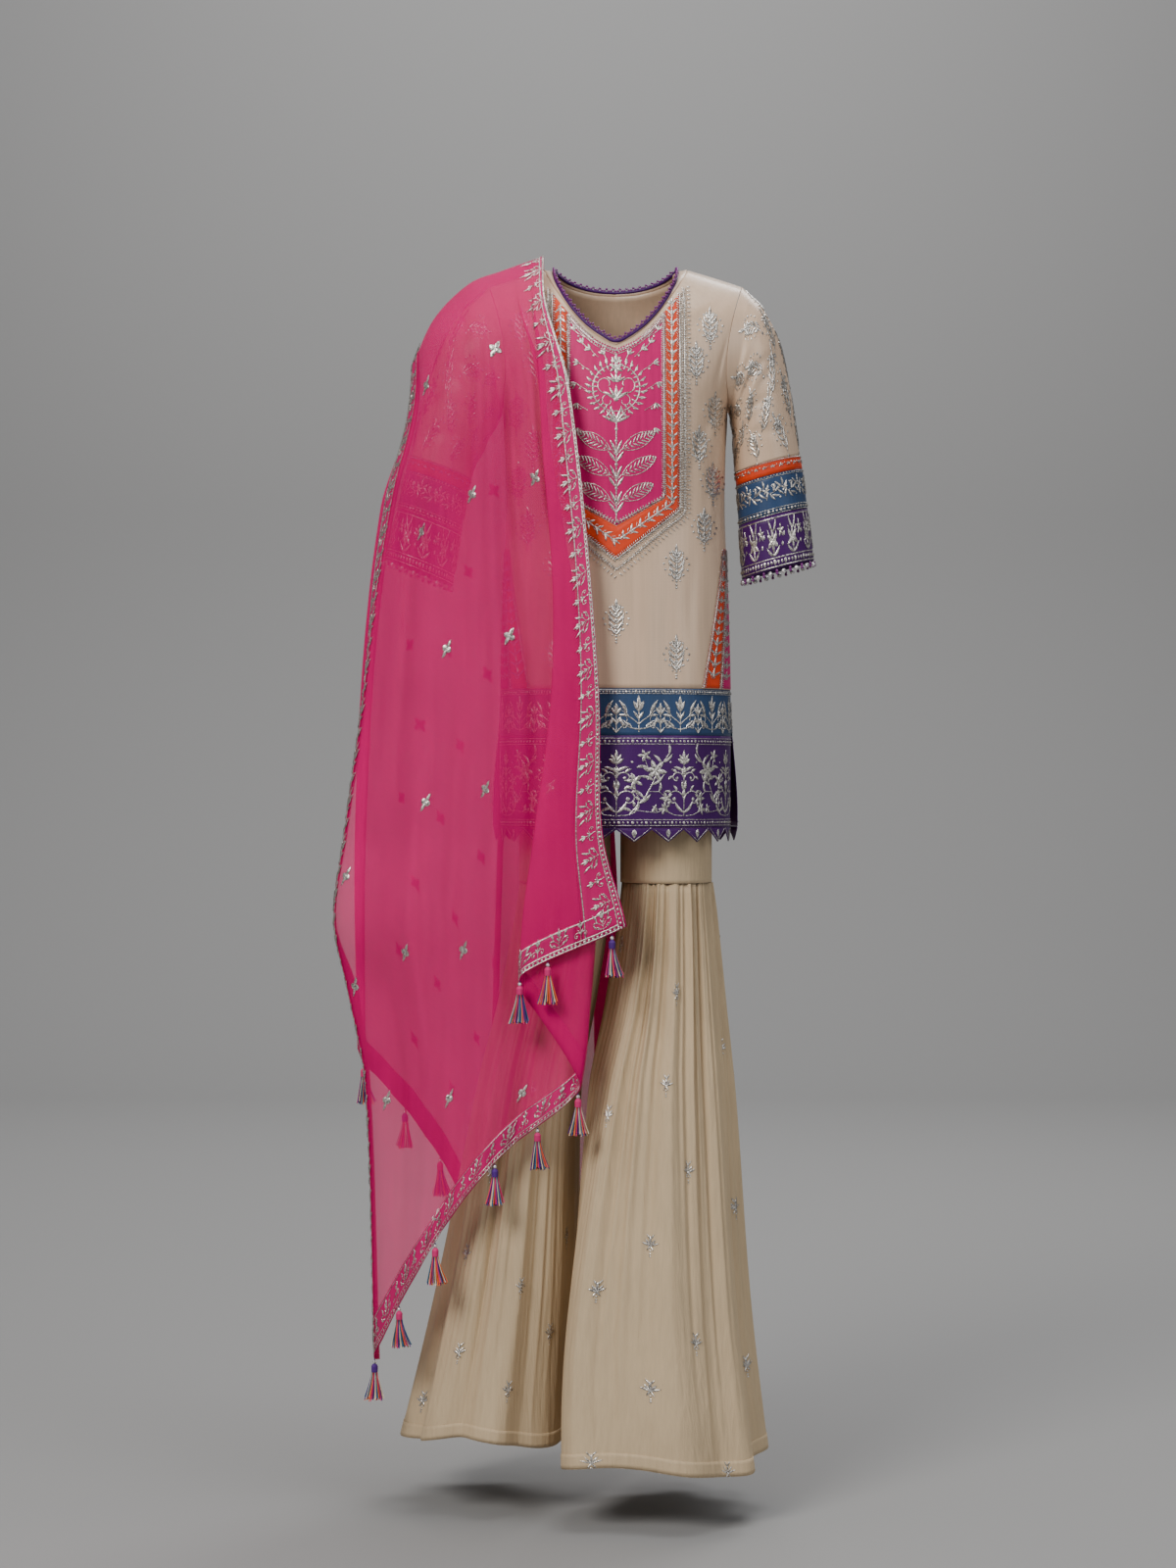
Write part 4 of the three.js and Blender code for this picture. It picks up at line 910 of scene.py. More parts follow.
def insert_x(kind, sign):
    def x_of(t, s):
        edge = body_edge(mix(INSERT_TOP_Z, INSERT_FOOT_Z, t)) - 1
        spread = mix(0.12, 1, t)
        orange_edge, magenta_edge = edge - (edge - ORANGE_X) * spread, edge - (edge - MAGENTA_X) * spread
        near, far = (orange_edge, magenta_edge) if kind == "orange" else (magenta_edge + 0.1, edge)
        return sign * mix(near, far, s)
    return x_of


def insert_z(t, s):
    return mix(INSERT_TOP_Z, INSERT_FOOT_Z, t) + 0 * s


for hand, sign in (("left", 1), ("right", -1)):
    for kind, material in (("orange", ORANGE), ("magenta", MAGENTA)):
        insert = flat_patch(insert_x(kind, sign), insert_z, 40, 8)
        cloth_for(f"insert_{kind}_{hand}", insert, 0.9, material, f"{kind}_silk")


def closed_cord(path, radius, sides=8):
    """Points and faces of a round cord on a closed path."""
    ahead, behind = np.roll(path, -1, 0), np.roll(path, 1, 0)
    way = ahead - behind
    way /= np.linalg.norm(way, axis=1, keepdims=True)
    up = np.tile([0.0, 0.0, 1.0], (len(path), 1))
    up[np.abs(way[:, 2]) > 0.9] = [1.0, 0.0, 0.0]
    beside = np.cross(way, up)
    beside /= np.linalg.norm(beside, axis=1, keepdims=True)
    up = np.cross(beside, way)
    a = np.linspace(0, 2 * np.pi, sides, endpoint=False)
    spokes = np.cos(a)[None, :, None] * beside[:, None] + np.sin(a)[None, :, None] * up[:, None]
    rings = path[:, None] + radius * spokes
    last = (len(path) - 1) * sides
    joint = [(last + k, last + (k + 1) % sides, (k + 1) % sides, k) for k in range(sides)]
    return rings.reshape(-1, 3), grid_faces(len(path), sides, True) + joint


PIPING_R, PIPING_CLEAR = 2, 1.1
PIPING_X = [-78, -71, -63, -53, -38, -20, 0, 20, 38, 53, 63, 71, 78]


def piping_point(side, x):
    rise = (neck_z[side](abs(x) + 0.5) - neck_z[side](abs(x) - 0.5)) if abs(x) > 1 else 0.0
    z = neck_z[side](abs(x))
    turn = np.degrees(np.arcsin(x / TIP_X))
    edge = body_point(side, turn, z, False)
    away = (PIPING_R + CLOTH + PIPING_CLEAR) / math.hypot(rise, 1)
    return [x - np.sign(x) * rise * away, float(edge[1]), float(z) + away]


def closed_curve(points, steps):
    n, out = len(points), []
    for k in range(n):
        p0, p1, p2, p3 = (points[(k + i) % n] for i in (-1, 0, 1, 2))
        for j in range(steps):
            t = j / steps
            out.append(0.5 * (2 * p1 + (p2 - p0) * t + (2 * p0 - 5 * p1 + 4 * p2 - p3) * t**2
                              + (3 * p1 - p0 - 3 * p2 + p3) * t**3))
    return np.array(out)


ring = [piping_point("front", x) for x in PIPING_X] + [piping_point("back", -x) for x in PIPING_X]
neck_path = closed_curve(np.array(ring, float), 12)
piece("neck_piping_cord", *closed_cord(neck_path, PIPING_R), PURPLE, "purple_silk", ["neck_piping"])


# A narrow facing that carries the piping, from the kurta's cut edge to the cord
def neck_edge(side, x):
    turn = np.degrees(np.arcsin(x / TIP_X))
    return body_point(side, turn, top_z(side, turn), False)


round_neck = [("front", s) for s in np.linspace(-1, 1, 61)] + [("back", -s) for s in np.linspace(-1, 1, 61)]
cut_edge = np.array([neck_edge(side, NECK_HALF * s) for side, s in round_neck])
cord_line = np.array([piping_point(side, PIPING_X[-1] * s) for side, s in round_neck])
facing = piece("neck_facing", np.concatenate([mix(cut_edge, cord_line, t) for t in (0, 0.5, 1)]),
               grid_faces(3, len(round_neck), True), BEIGE, "beige_silk")
facing_wall = facing.modifiers.new("wall", "SOLIDIFY")
facing_wall.thickness, facing_wall.offset = 0.8 * MM, 0


# Sleeves and cuffs
CUFF_CLOTH = {"sleeve": (BEIGE, "beige_silk"), "cuff_orange": (ORANGE, "orange_silk"),
              "cuff_blue": (BLUE, "blue_silk"), "cuff_purple": (PURPLE, "purple_silk")}
sleeve_parts = {}
for hand in ("left", "right"):
    for name, start, end in SLEEVE_SPANS:
        rows = max(6, round((end - start) * 110))
        surface = Surface(np.linspace(start + (CUFF_GAP if start else 0), end - CUFF_GAP, rows),
                          np.linspace(0, 360, 97), lambda t, a, hand=hand: sleeve_point(hand, t, a),
                          wrap=True)
        sleeve_parts[name, hand] = surface
        material, slot_name = CUFF_CLOTH[name]
        cloth_for(f"{name}_{hand}", surface, 1.0, material, slot_name)


# Sharara
waistband = Surface(np.linspace(WAIST_Z, BAND_FOOT_Z + SEAM * 2, 12), np.linspace(0, 360, 121), band_point,
                    wrap=True)
cloth_for("waistband", waistband, 1.2, CREAM, "cream_georgette")
flares = {}
for hand in ("left", "right"):
    upper = Surface(np.linspace(BAND_FOOT_Z - SEAM * 2, GATHER_Z + SEAM / 2, 60), np.linspace(-1, 1, 121),
                    lambda z, s, hand=hand: upper_point(hand, z, s), wrap=True)
    cloth_for(f"sharara_upper_{hand}", upper, 1.0, CREAM, "cream_georgette")
    flares[hand] = Surface(np.linspace(0, 1, FLARE_ROWS), np.linspace(0, 360, FLARE_COLS),
                           lambda share, a, hand=hand: flare_point(hand, share, a), wrap=True)
    cloth_for(f"flare_{hand}", flares[hand], 1.0, CREAM, "cream_georgette")


# Dupatta: one sheet over the shoulder, share 1 down to 0 in front and 0 to 1 behind
U_STEPS, V_STEPS = 170, 78


def over_point(v, u):
    v, u = np.broadcast_arrays(v, u)
    front = drape_point("front", u, np.abs(v))
    back = drape_point("back", u, np.abs(v))
    return np.where((v < 0)[..., None], front, back)


v_rows = np.concatenate([-np.linspace(1, 0, V_STEPS) ** 1.15, np.linspace(0, 1, V_STEPS)[1:] ** 1.15])
dupatta = Surface(v_rows, np.linspace(0, 1, U_STEPS), over_point, outward=(-150, 0, 0))
dupatta_cloth = shell("dupatta_cloth", dupatta, 0.8, MAGENTA_SHEER, "magenta_georgette", nodes=["dupatta"])


STRIPS = {"inner": (v_rows, np.linspace(0.0, 0.056, 8)), "outer": (v_rows, np.linspace(0.94, 1, 8)),
          "front": (np.linspace(-1, -0.965, 6), np.linspace(0.065, 0.93, 120)),
          "back": (np.linspace(0.965, 1, 6), np.linspace(0.065, 0.93, 120))}
for name, (rows, cols) in STRIPS.items():
    strip = Surface(rows, cols, lambda v, u: dupatta.at(v, u), outward=(-150, 0, 0))
    cloth_for(f"dupatta_border_{name}", strip, 0.7, MAGENTA, "magenta_silk",
                                  lift=STRIP_LIFT)


# Embroidery of the kurta: spots, yoke tree, borders and vines
def band_edge(s, path, width=4.0, beads=2.6):
    """A dense metal band along a path with small leaves across it."""
    s.stem(path, width * 0.42, 0.8)
    for (x0, y0), (x1, y1) in zip(path[:-1], path[1:]):
        long, angle = math.hypot(x1 - x0, y1 - y0), math.degrees(math.atan2(y1 - y0, x1 - x0))
        n = max(1, round(long / beads))
        for k in range(n):
            t = (k + 0.5) / n
            x, y = mix(x0, x1, t), mix(y0, y1, t)
            for flip in (-1, 1):
                s.leaf(x, y, angle + flip * 62, width * 0.85, 1.7, steps=3)


def along(path, pitch):
    """Places at an even pitch along a path, with the heading in degrees."""
    out, rest = [], pitch / 2
    for (x0, y0), (x1, y1) in zip(path[:-1], path[1:]):
        long, heading = math.hypot(x1 - x0, y1 - y0), math.degrees(math.atan2(y1 - y0, x1 - x0))
        while rest < long:
            out.append((mix(x0, x1, rest / long), mix(y0, y1, rest / long), heading))
            rest += pitch
        rest -= long
    return out


def feathered(s, x, y, angle, length, width, pairs=9):
    """A big leaf: an outline with a vein and slanting stitches."""
    a = math.radians(angle)
    s.stem([(x, y), (x + length * math.cos(a), y + length * math.sin(a))], 1.1)
    for flip in (-1, 1):
        edge = []
        for k in range(9):
            t = k / 8
            off = flip * width / 2 * math.sin(math.pi * t) ** 0.8
            edge.append((x + t * length * math.cos(a) - off * math.sin(a),
                         y + t * length * math.sin(a) + off * math.cos(a)))
        s.stem(edge, 1.3)
        for k in range(1, pairs):
            t = k / pairs
            px, py = x + t * length * math.cos(a), y + t * length * math.sin(a)
            s.leaf(px, py, angle + flip * 42, width * 0.58 * math.sin(math.pi * t) + 1.4, 2.7, steps=3)


def yoke_tree():
    """A tree on the yoke: stem, three pairs of large leaves, a ring of scrolls and sprigs round the neck."""
    s = Stitches()
    foot_z, ring_z, ring_r = -316, -158, 29
    s.line(0, foot_z, 0, ring_z - ring_r - 6, 2.2)
    for flip in (-1, 1):
        for z, long in ((-292, 42), (-262, 46), (-232, 44)):
            s.stem([(0, z - 8), (flip * 6, z), (flip * 10, z + 2)], 1.3)
            feathered(s, flip * 7, z, 90 - flip * 62, long, 17)
            s.leaf(flip * 1, z - 14, 90 - flip * 34, 15, 4.6)
            s.leaf(flip * 1, z - 4, 90 - flip * 16, 17, 4.4, bend=-flip * 6)
        s.arc(0, ring_z, ring_r, -90, -90 + flip * 172, 1.9, 20, 0.94)
        s.arc(flip * 13, ring_z + 4, 11, -90, -90 + flip * 300, 1.6, 16, 0.4)
        s.arc(flip * 10, ring_z - 16, 8, 90, 90 - flip * 280, 1.4, 14, 0.4)
        for angle in range(-76, 98, 13):
            a = math.radians(angle)
            x, z = flip * ring_r * math.cos(a), ring_z + ring_r * math.sin(a)
            s.leaf(x, z, 90 - flip * (90 - angle) + flip * 12, 9.5, 3.8, bend=flip * 12)
            s.leaf(x, z, 90 - flip * (90 - angle) + 180, 6.5, 3.0)
            s.dot(x + flip * 4 * math.cos(a), z + 4 * math.sin(a), 1.1)
        for x, z, angle in ((14, -118, 55), (30, -112, 30), (44, -128, 10), (48, -152, -30), (47, -176, -70),
                            (40, -104, 62), (50, -88, 78), (46, -206, -60)):
            s.stem([(flip * x * 0.72, z - 9), (flip * x * 0.9, z - 4), (flip * x, z)], 1.2)
            for turn in (-32, 0, 32):
                s.leaf(flip * x, z, 90 - flip * (90 - angle) + turn, 8.5, 3.4)
            s.dot(flip * x * 0.9, z - 7, 1.3)
    for turn in (-58, -30, 0, 30, 58):
        s.leaf(0, ring_z - 14, 90 + turn, 17, 5.0)
        s.leaf(0, ring_z + 6, 90 + turn, 13, 4.2)
    for turn in (-64, -40, -18, 18, 40, 64):
        s.leaf(0, -200, 90 + turn, 19, 4.6)
    s.flower(0, ring_z + 24, 9, 6)
    s.leaf(0, ring_z + 30, 90, 12, 5)
    s.dot(0, ring_z - 14, 3.0, 1.5)
    for z in range(foot_z + 10, -200, 14):
        s.dot(0, z, 1.9, 1.5)
    return s


yoke_tree().lay("yoke_stitches", on_yoke, 0.2)

s = Stitches()
neck_run = [(x, float(neck_z["front"](abs(x)))) for x in np.linspace(-57, 57, 39)]
band_edge(s, [(x, z - 8) for x, z in neck_run], 5.0)
s.stem([(x, z - 12.5) for x, z in neck_run], 1.1)
s.lay("neck_band_stitches", on_yoke, 0.2)


def border_run(edge_share, samples=121):
    """The yoke border's run at a share of its width, from the left arm's top to the right arm's."""
    shares = np.linspace(0, 1, samples)
    xs, zs = border_x(np.full(samples, edge_share), shares), border_z(np.full(samples, edge_share), shares)
    return [(float(x), float(z)) for x, z in zip(xs, zs)]


s = Stitches()
for share, width in ((-0.10, 4.4), (1.02, 5.4), (1.34, 4.4)):
    band_edge(s, border_run(share), width)
for x, z, heading in along(border_run(0.46), 12.5):
    for turn in (0, 46, -46):
        s.leaf(x, z, heading + turn, 9.5, 3.6)
    s.leaf(x, z, heading + 180, 5, 2.6)
    s.arc(x, z, 4.2, heading + 90, heading + 300, 1.1, 8, 0.5)
    s.dot(x, z, 1.5)
for x, z, heading in along(border_run(1.52), 5.5):
    s.leaf(x, z, heading - 90, 4.6, 2.6, steps=3)
s.lay("yoke_border_stitches", on_yoke, 0.2)

BOOTIS = [(72, -372), (0, -438), (72, -480), (113, -84), (120, -186), (117, -270), (-72, -372), (-72, -480),
          (-113, -84), (-120, -186), (-117, -270), (96, -128), (-96, -128), (100, -228), (-100, -228),
          (106, -326), (-106, -326)]
BACK_BOOTIS = [(x, z) for row, z in enumerate(range(-90, -490, -66))
               for x in ((-110, -55, 0, 55, 110) if row % 2 else (-82, -28, 28, 82))]
booti = booti_motif()
for side, places in (("front", BOOTIS), ("back", BACK_BOOTIS)):
    s = Stitches()
    for x, z in places:
        s.copy_in(booti, x, z, scale=1.0)
    s.lay(f"kurta_spots_{side}", on_panel(side))

for hand, sign in (("left", 1), ("right", -1)):
    s = Stitches()
    for kind, width in (("orange", 34), ("magenta", 14)):
        x_of = insert_x(kind, sign)
        path = [(float(x_of(t, 0.5)), float(insert_z(t, 0.5))) for t in np.linspace(0.04, 0.98, 30)]
        for x, z, heading in along(path, 13):
            room = np.clip((path[0][1] - z) / 170, 0.15, 1)
            for turn in (0, 50, -50):
                s.leaf(x, z, heading + 180 + turn, 5 + 7 * room * width / 34, 3.6)
            s.arc(x, z, 4.5 * room, 90, 330, 1.2, 8, 0.5)
            s.dot(x, z, 1.4)
        band_edge(s, [(float(x_of(t, 0.02)), float(insert_z(t, 0.0))) for t in np.linspace(0, 1, 24)], 3.6)
    s.lay(f"insert_stitches_{hand}", on_yoke, 0.2)


# Beads round the neck, hanging loops of three
def ball(points, faces, centre, radius, rings=5, sides=8):
    base = len(points)
    centre = np.asarray(centre, float)
    points.append(centre + [0, 0, radius])
    for r in range(1, rings):
        a = math.pi * r / rings
        for k in range(sides):
            b = 2 * math.pi * k / sides
            way = [math.sin(a) * math.cos(b), math.sin(a) * math.sin(b), math.cos(a)]
            points.append(centre + radius * np.array(way))
    points.append(centre - [0, 0, radius])
    last = len(points) - 1
    for k in range(sides):
        n = (k + 1) % sides
        faces.append((base, base + 1 + k, base + 1 + n))
        for r in range(rings - 2):
            q = base + 1 + r * sides
            faces.append((q + k, q + sides + k, q + sides + n, q + n))
        q = base + 1 + (rings - 2) * sides
        faces.append((q + k, last, q + n))


def beads(name, centres, radii, material, slot):
    points, faces = [], []
    for centre, radius in zip(centres, radii):
        ball(points, faces, centre, radius)
    return piece(name, points, faces, material, slot)


neck_steps = np.linalg.norm(np.roll(neck_path, -1, 0) - neck_path, axis=1)
neck_at = np.concatenate([[0], np.cumsum(neck_steps)])
LOOP_PITCH = 8.5
loop_count = int(neck_at[-1] // LOOP_PITCH)
centres = []
closed = np.vstack([neck_path, neck_path[:1]])
for k in range(loop_count):
    at = (k + 0.5) / loop_count * neck_at[-1]
    p = np.array([np.interp(at, neck_at, closed[:, i]) for i in range(3)])
    q = np.array([np.interp(min(at + 1, neck_at[-1]), neck_at, closed[:, i]) for i in range(3)])
    tangent = (q - p) / max(np.linalg.norm(q - p), 1e-6)
    up = np.array([0, 0, 1.0]) - tangent * tangent[2]
    up /= np.linalg.norm(up)
    for along_it, high in ((-2.6, 2.6), (0, 4.6), (2.6, 2.6)):
        centres.append(p + tangent * along_it + up * high)
beads("neck_beads", centres, [1.55] * len(centres), VIOLET_BEAD, "purple_silk")


# Sleeve embroidery: scattered sprays, rows on the three cuff bands, beads under the edge
def sleeve_frame(hand, t):
    """Millimetres along the sleeve for one step of t, and round it for a degree."""
    a, b = sleeve_point(hand, t - 0.01, 90), sleeve_point(hand, t + 0.01, 90)
    c, d = sleeve_point(hand, t, 80), sleeve_point(hand, t, 100)
    return float(np.linalg.norm(b - a)) / 0.02, float(np.linalg.norm(d - c)) / 20


def spray_motif():
    """The sleeve's spot: a curved sprig with a flower, 22 wide and 34 high."""
    s = Stitches()
    s.stem([(-3, -15), (-1, -7), (1, 2), (0, 9)], 1.4)
    for y, long in ((-12, 9), (-6, 11), (0, 10), (5, 8)):
        for flip in (-1, 1):
            s.leaf(-1, y, 90 - flip * 46, long, 3.8, bend=flip * 18)
            s.dot(flip * (long * 0.75 + 1), y + 7, 1.2)
    s.flower(0, 11, 6.5, 6)
    s.leaf(0, 15, 90, 8, 3.6)
    s.dot(-4, -18, 1.6)
    return s


def on_sleeve_mm(name, hand, t0, a0=90.0):
    """Flat millimetres on a sleeve piece: x round it from a0 degrees, y up it from t0."""
    per_t, per_degree = sleeve_frame(hand, t0)

    def place(x, y, height):
        return sleeve_parts[name, hand].at(t0 - y / per_t, np.mod(a0 + x / per_degree, 360), height)
    return place, per_t, per_degree


SPRAY_ROWS, SPRAY_TURNS, SPRAYS_ROUND = [0.17, 0.31, 0.45, 0.58, 0.70], (-24, 14, 30, -12), 7
BEADS_ROUND = 34
spray = spray_motif()
for hand in ("left", "right"):
    s = Stitches()
    place, per_t, per_degree = on_sleeve_mm("sleeve", hand, 0.5)
    for j, t in enumerate(SPRAY_ROWS):
        for k in range(SPRAYS_ROUND):
            angle = (k + (0.5 if j % 2 else 0)) * 360 / SPRAYS_ROUND + 16
            s.copy_in(spray, (angle - 90) * per_degree, (0.5 - t) * per_t, SPRAY_TURNS[(j + k) % 4], 1.25)
    s.lay(f"sleeve_spots_{hand}", place)
    for name, start, end in SLEEVE_SPANS[1:]:
        s = Stitches()
        place, per_t, per_degree = on_sleeve_mm(name, hand, end)
        tall = (end - start) * per_t
        x0, x1 = -90 * per_degree, 270 * per_degree
        if name == "cuff_orange":
            band_edge(s, [(x, tall - 1.5) for x in np.linspace(x0, x1, 60)], 3.0)
            for x in np.arange(x0 + 5, x1, 10.5):
                s.flower(x, tall / 2 - 0.5, 4.2, 5)
                s.leaf(x + 5.2, tall / 2, 90, 4, 2)
        if name == "cuff_blue":
            beaded_line(s, x0, x1, tall - 2, 4.2, 1.0, 2.0)
            beaded_line(s, x0, x1, 4, 5.0, 1.5, 3.2)
            for x in np.arange(x0 + 12, x1, 24):
                mid = tall / 2 + 3
                s.stem([(x - 12, mid), (x - 5, mid + 5), (x + 3, mid - 3), (x + 12, mid)], 1.4)
                for px, py, angle in ((-7, 4, 115), (-1, 1, 60), (4, -3, -70), (8, -1, 70), (-10, 1, -60),
                                      (1, 0, -115), (-4, 6, 80), (6, -4, -30), (10, 0, 30)):
                    s.leaf(x + px, mid + py, angle, 10.5, 3.8, bend=14)
                s.flower(x - 1, mid + 2, 5, 5)
                s.arc(x + 8, mid + 7, 3.6, -60, 220, 1.2, 8, 0.4)
                s.dot(x + 9, mid + 8, 1.3)
                s.dot(x - 8, mid - 9, 1.3)
        if name == "cuff_purple":
            beaded_line(s, x0, x1, 4, 4.4, 1.3, 2.6)
            s.line(x0, tall - 2, x1, tall - 2, 1.2)
            for x in np.arange(x0 + 13, x1, 26):
                s.stem([(x, 8), (x + 1.5, tall / 2), (x, tall - 16)], 1.5)
                s.flower(x, tall - 15, 7.5, 6)
                for px, py, angle, long in ((0, 13, 44, 12), (0, 13, 136, 12), (1, 22, 38, 9),
                                            (1, 22, 142, 9), (0, 8, 14, 10), (0, 8, 166, 10)):
                    s.leaf(x + px, py, angle, long, 3.2, bend=20 if angle < 90 else -20)
                s.flower(x + 11, tall / 2 + 6, 4.6, 5)
                s.dot(x - 11, tall - 12, 1.4)
                s.dot(x + 12, 14, 1.4)
        s.lay(f"{name}_stitches_{hand}", place)
    hung, sizes, purple_hung = [], [], []
    down = sleeve_point(hand, 1, 90) - sleeve_point(hand, 0.97, 90)
    down = down / np.linalg.norm(down)
    for k in range(BEADS_ROUND):
        p = sleeve_point(hand, 1, k * 360 / BEADS_ROUND) + down * 3.2
        if k % 2:
            hung.append(p + down * 1.2)
            sizes.append(3.0)
        else:
            purple_hung += [p - down * 1.0, p + down * 2.2]
    beads(f"cuff_pearls_{hand}", hung, sizes, PEARL, "silver_lace")
    beads(f"cuff_violets_{hand}", purple_hung, [1.9] * len(purple_hung), VIOLET_BEAD, "purple_silk")


# Sharara spots
sprig = sprig_motif()


def column_angle(hand, x, z):
    """The degrees on a flare's front where it lies at a real x, for a height z."""
    share = (FLARES[hand]["z"][0] - z) / (FLARES[hand]["z"][0] - FLARES[hand]["z"][-1])
    angles = np.linspace(184, 356, 345)
    points = flare_point(hand, min(1, share), angles)
    return float(angles[np.argmin(np.abs(points[:, 0] - x))]), share


def on_flare(surface):
    return lambda x, y, height: surface.at(y / FLARE_LONG, np.mod(x / FLARE_MM_PER_DEGREE, 360), height)


FLARE_MM_PER_DEGREE, FLARE_LONG = 2.0, 700.0
SPRIGS = {"left": [(6, -828), (72, -882), (126, -954), (-10, -1028), (86, -1092), (146, -1148), (-24, -1236),
                   (94, -1292), (158, -1338), (-30, -1438), (132, -1440), (40, -1180), (60, -990),
                   (40, -1350)], "right": [(-114, -1236), (-60, -1180), (-100, -1000), (-150, -1100),
                   (-190, -1320), (-236, -1380), (-130, -1360), (-180, -1200), (-80, -1290), (-90, -880)]}
for hand in ("left", "right"):
    s = Stitches()
    for x, z in SPRIGS[hand]:
        angle, share = column_angle(hand, x, z)
        s.copy_in(sprig, angle * FLARE_MM_PER_DEGREE, share * FLARE_LONG, scale=-0.95)
    for j, share in enumerate(np.linspace(0.1, 0.95, 8)):
        for k in range(5):
            angle = (k + (0.5 if j % 2 else 0.1)) * 36
            s.copy_in(sprig, angle * FLARE_MM_PER_DEGREE, share * FLARE_LONG, scale=-0.95)
    s.lay(f"flare_spots_{hand}", on_flare(flares[hand]), 0.4)

# The hem's own turned-up edge, a slim second layer
for hand in ("left", "right"):
    fold_rows, fold_cols = np.linspace(0.974, 0.998, 5), np.linspace(0, 360, FLARE_COLS)
    turned = Surface(fold_rows, fold_cols, lambda r, c, hand=hand: flares[hand].at(r, c), wrap=True)
    shell(f"flare_hem_{hand}", turned, 0.5, CREAM, "cream_georgette", lift=0.7)

# Dupatta embroidery: four-petal spots on the sheer, sprays along the borders
SMALL_STEP = 0.004


def sheet_scale(v, u):
    """Millimetres for one step of u and of v, at a place on the sheet."""
    u0, u1 = max(0, u - SMALL_STEP), min(1, u + SMALL_STEP)
    v0, v1 = max(-1, v - SMALL_STEP), min(1, v + SMALL_STEP)
    wide = np.linalg.norm(dupatta.at(v, u1) - dupatta.at(v, u0))
    long = np.linalg.norm(dupatta.at(v1, u) - dupatta.at(v0, u))
    return float(wide) / (u1 - u0), float(long) / (v1 - v0)


def lay_on_sheet(name, items, lift):
    """items: (motif, u, v, angle, scale). Each motif is drawn at true size where it lies."""
    points, faces = [], []
    for motif, u, v, angle, scale in items:
        per_u, per_v = sheet_scale(v, u)
        c, q = math.cos(math.radians(angle)), math.sin(math.radians(angle))
        p = np.array(motif.points) * [scale, scale, 1]
        du = (p[:, 0] * c - p[:, 1] * q) / per_u
        dv = -(p[:, 0] * q + p[:, 1] * c) / per_v * (1 if v >= 0 else -1)
        base = len(points)
        points += list(dupatta.at(v + dv, u + du, p[:, 2] + lift))
        faces += [tuple(base + k for k in face) for face in motif.faces]
    return piece(name, points, faces, SILVER, "silver_lace")


def u_at(side, x, z):
    """The u of the sheet's outer layer at a real x, for a height z."""
    us = np.linspace(0.34, 0.99, 320)
    tops, feet = ridge_z(us), hem_z[side](us)
    shares = np.clip((tops - z) / (tops - feet), 0.02, 0.97)
    points = drape_point(side, us, shares)
    k = int(np.argmin(np.abs(points[:, 0] - x)))
    return float(us[k]), float(shares[k])


petals = four_petal()
SPOTS = [(-144, -112), (-228, -150), (-172, -284), (-97, -266), (-234, -326), (-127, -454), (-203, -468),
         (-156, -636), (-228, -652), (-78, -634), (-328, -742), (-182, -828), (-253, -832), (-317, -876),
         (-112, -998), (-200, -1006), (-277, -1012), (-217, -1182)]
items = []
for x, z in SPOTS:
    u, share = u_at("front", x, z)
    items.append((petals, u, -share, 0, 1.0))
for j, share in enumerate(np.linspace(0.12, 0.9, 9)):
    for k in range(4):
        items.append((petals, mix(0.12, 0.86, (k + (0.5 if j % 2 else 0.1)) / 4), float(share), 0, 1.0))
lay_on_sheet("dupatta_spots", items, 0.3)


def strip_items(axis, span, cross, turn, pitch=56.0, size=0.86):
    """Sprays and curls by turns along a strip; turn points their tips into the sheet."""
    kinds = [(fan_motif(), size), (curl_motif(), size * 1.2)]
    out, at = [], span[0]
    while at < span[1]:
        u, v = (at, cross) if axis == "u" else (cross, at)
        motif, scale = kinds[len(out) % 2]
        out.append((motif, u, v, turn, scale))
        at += pitch / 2 / max(sheet_scale(v, u)[0 if axis == "u" else 1], 40)
    return out


def rail(name, axis, cross_values, span, count, width=1.3):
    """Thin metal lines along a strip, at given places across it."""
    points, faces = [], []
    for cross in cross_values:
        runs = np.linspace(*span, count)
        u, v = (runs, np.full(count, cross)) if axis == "u" else (np.full(count, cross), runs)
        du, dv = (0, SMALL_STEP) if axis == "u" else (SMALL_STEP, 0)
        across = dupatta.at(v + dv, u + du) - dupatta.at(v - dv, u - du)
        across /= np.linalg.norm(across, axis=-1, keepdims=True)
        low, high = (dupatta.at(v, u, np.full(count, lift)) for lift in (RAIL_LIFT, RAIL_LIFT + 0.5))
        base = len(points)
        points += list(np.stack([low - across * width / 2, high, low + across * width / 2], 1).reshape(-1, 3))
        faces += grid_faces(count, 3, False, base)
    return piece(name, points, faces, SILVER, "silver_lace")


RAIL_LIFT = STRIP_LIFT + 0.3


def sequins(name, axis, cross, span, gap, radius):
    """Small sequins in a row along a strip's edge."""
    sequin = Stitches()
    sequin.dot(0, 0, radius, 0.7)
    out, at = [], span[0]
    while at < span[1]:
        u, v = (at, cross) if axis == "u" else (cross, at)
        out.append((sequin, u, v, 0, 1.0))
        at += gap / max(sheet_scale(v, u)[0 if axis == "u" else 1], 40)
    lay_on_sheet(name, out, RAIL_LIFT)


# By the axis a strip runs on: the spans of its rails, stitches and sequins, and the steps its rails take
RUNS = {"v": ((-0.999, 0.999), (-0.955, 0.96), (-0.998, 0.998), 900),
        "u": ((0.01, 0.99), (0.03, 0.97), (0.01, 0.99), 500)}
